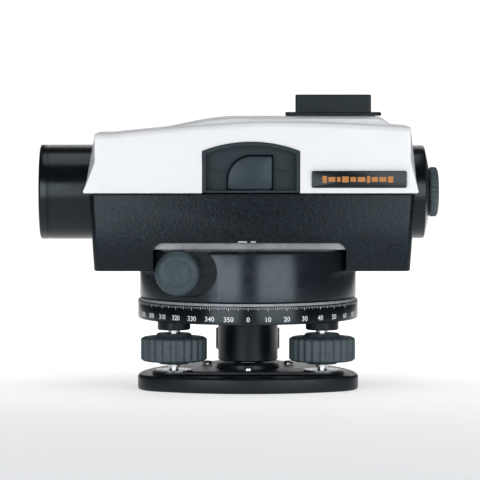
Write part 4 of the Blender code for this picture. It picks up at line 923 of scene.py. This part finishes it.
# ---------------------------------------------------------------- sight
def make_sight():
    first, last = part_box("open_sight")
    flange_top = first.z + 2.4 * MM
    left, right = first.x + 5.1 * MM, last.x - 5.1 * MM
    half = last.y - 2 * MM
    body = bevel(block("sight_body", (left, -half, first.z), (right, half, last.z)), 0.6 * MM, 3)
    settle(body)
    flange = slab("flange", rounded_box(first.x, last.x, first.y, last.y, 3 * MM, 8),
                  flange_top - first.z - 0.6 * MM, (0, 0, first.z))
    combine(body, [bevel(flange, 0.4 * MM, 2)], "UNION")
    wall = 1.3 * MM
    tunnel = block("tunnel", (left - 0.01, -half + wall, flange_top + 0.8 * MM),
                   (right + 0.01, half - wall, last.z - wall))
    border = 1.2 * MM
    panels = []
    for near, far in ((-0.05, -half + 0.5 * MM), (half - 0.5 * MM, 0.05)):
        outline = rounded_box(left + 1.6 * MM, right - 1.6 * MM, flange_top + 0.4 * MM, last.z - border,
                              0.5 * MM)
        panels.append(upright("panel", outline, near, far))
    combine(body, [tunnel] + panels)
    finish_piece(body, "instrument", "sight_plastic", ["open_sight"])


# ---------------------------------------------------------------- telescope ends and focusing knob
def make_telescope_ends():
    first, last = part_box("objective_barrel")
    radius = last.y
    seat = first.x + 16.4 * MM
    inner = 20.0 * MM
    tube = high("telescope_tube").y + 0.3 * MM
    profile = [(radius, last.x), (radius, first.x + 5.0 * MM), (radius - 0.25 * MM, first.x + 4.8 * MM)]
    profile += [(radius - 0.25 * MM, first.x + 4.2 * MM), (radius, first.x + 4.0 * MM),
                (radius, first.x + 0.9 * MM)]
    profile += [(radius - 0.3 * MM, first.x + 0.25 * MM), (radius - 0.9 * MM, first.x),
                (inner + 0.6 * MM, first.x)]
    profile += [(inner, first.x + 0.6 * MM), (inner, seat), (inner - 2 * MM, seat),
                (inner - 2 * MM, seat + 2 * MM)]
    profile += [(tube, seat + 2 * MM), (tube, last.x)]
    finish_piece(turned("barrel", profile, AXIS, ALONG_X, 160, True), "instrument", "black_plastic",
                 ["objective_barrel"])
    make_lens("front_glass", "objective_front_lens", 2.6 * MM, 2.0 * MM, "instrument")
    make_lens("ocular_glass", "eye_lens", 1.0 * MM, 1.2 * MM, "eyepiece")

    first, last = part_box("retaining_ring")
    inner = last.y - 1.8 * MM
    profile = [(last.y, last.x), (last.y, first.x + 0.2 * MM), (last.y - 0.2 * MM, first.x),
               (inner + 0.4 * MM, first.x)]
    ring = turned("lens_ring", profile + [(inner, first.x + 0.4 * MM), (inner, last.x)], AXIS, ALONG_X, 128,
                  True)
    slots = [block("slot", (first.x - 0.001, -0.6 * MM, SIGHT_LINE - 0.03),
                   (first.x + 0.8 * MM, 0.6 * MM, SIGHT_LINE + 0.03))]
    finish_piece(combine(ring, slots), "instrument", "black_plastic", ["retaining_ring"])

    first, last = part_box("rear_cap")
    radius = last.y
    dioptre = high("dioptre_ring").y
    rim = last.x - 2.1 * MM
    bore = 11.3 * MM
    profile = [(dioptre, last.x), (dioptre + 1.2 * MM, last.x - 0.1 * MM),
               (radius - 1.2 * MM, rim + 0.1 * MM)]
    profile += [(radius - 0.3 * MM, rim - 0.3 * MM), (radius, rim - 1.1 * MM), (radius, first.x),
                (radius - 3 * MM, first.x)]
    profile += [(radius - 3 * MM, rim - 2.3 * MM), (bore, rim - 2.3 * MM), (bore, last.x)]
    finish_piece(turned("rear_cover", profile, AXIS, ALONG_X, 128, True), "instrument", "black_plastic",
                 ["rear_cap"])

    first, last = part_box("dioptre_ring")
    radius = last.y
    levels = [(first.x, radius - 0.4 * MM, 0), (first.x + 0.5 * MM, radius, 1),
              (last.x - 1.6 * MM, radius, 1)]
    levels += [(last.x - 0.9 * MM, radius - 0.4 * MM, 0.3), (last.x - 0.3 * MM, radius - 1.6 * MM, 0),
               (last.x, radius - 3.4 * MM, 0)]
    ring = fluted("dioptre_wheel", levels, 36, 0.45 * MM, AXIS, ALONG_X, 1.0, 8)
    wall = last.x - 1.1 * MM
    hollow = [(0, last.x + 0.01), (7.4 * MM, last.x + 0.01), (6.8 * MM, wall), (9.3 * MM, wall),
              (9.3 * MM, 0.05), (0, 0.05)]
    finish_piece(combine(ring, [turned("hollow", hollow, AXIS, ALONG_X, 96)]), "dioptre", "foot_rubber",
                 ["dioptre_ring"])

    first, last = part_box("focusing_knob")
    radius = last.x - middle("focusing_knob").x
    levels = [(first.y, radius - 1.0 * MM, 0), (first.y + 0.8 * MM, radius, 1),
              (last.y - 2.4 * MM, radius, 1)]
    levels += [(last.y - 1.2 * MM, radius - 0.6 * MM, 0.5), (last.y - 0.3 * MM, radius - 2.0 * MM, 0),
               (last.y, radius - 3.5 * MM, 0)]
    levels += [(last.y - 0.4 * MM, radius - 4.2 * MM, 0), (last.y - 0.4 * MM, 1 * MM, 0)]
    pinion = middle("focus_pinion_shaft")
    at = (pinion.x, 0, pinion.z)
    knob = fluted("focus_wheel", levels, 32, 0.6 * MM, at, ALONG_Y)
    seat = rod("seat", 2.1 * MM, 0.02, high("focus_pinion_shaft").y + 0.3 * MM, at, ALONG_Y, 32)
    finish_piece(combine(knob, [seat]), "focus_drive", "knob_rubber", ["focusing_knob"])


def make_lens(name, node, bulge_front, bulge_rear, body):
    first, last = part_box(node)
    radius = last.y
    rows = 12
    rear = [(radius * i / rows, last.x - bulge_rear * (i / rows) ** 2) for i in range(rows + 1)]
    front = [(radius * i / rows, first.x + bulge_front * (i / rows) ** 2) for i in range(rows + 1)]
    finish_piece(turned(name, rear + front[::-1], AXIS, ALONG_X, 96), body, "lens_glass", [node])


# ---------------------------------------------------------------- nodes kept from the CAD
def dress_cad_nodes():
    slots = {part["node"]: part["material_slot"] for part in frame["record"]["subparts"]}
    for name, node in NODES.items():
        if node.hide_render:
            continue
        node.data.materials.clear()
        node.data.materials.append(LOOKS[slots[name]])


make_camera()
make_stage()
LOOKS = make_looks()
make_base()
make_foot_screws()
make_tribrach()
make_drum()
make_lower_housing()
make_top_cover()
make_bay()
make_label()
make_sight()
make_telescope_ends()
dress_cad_nodes()
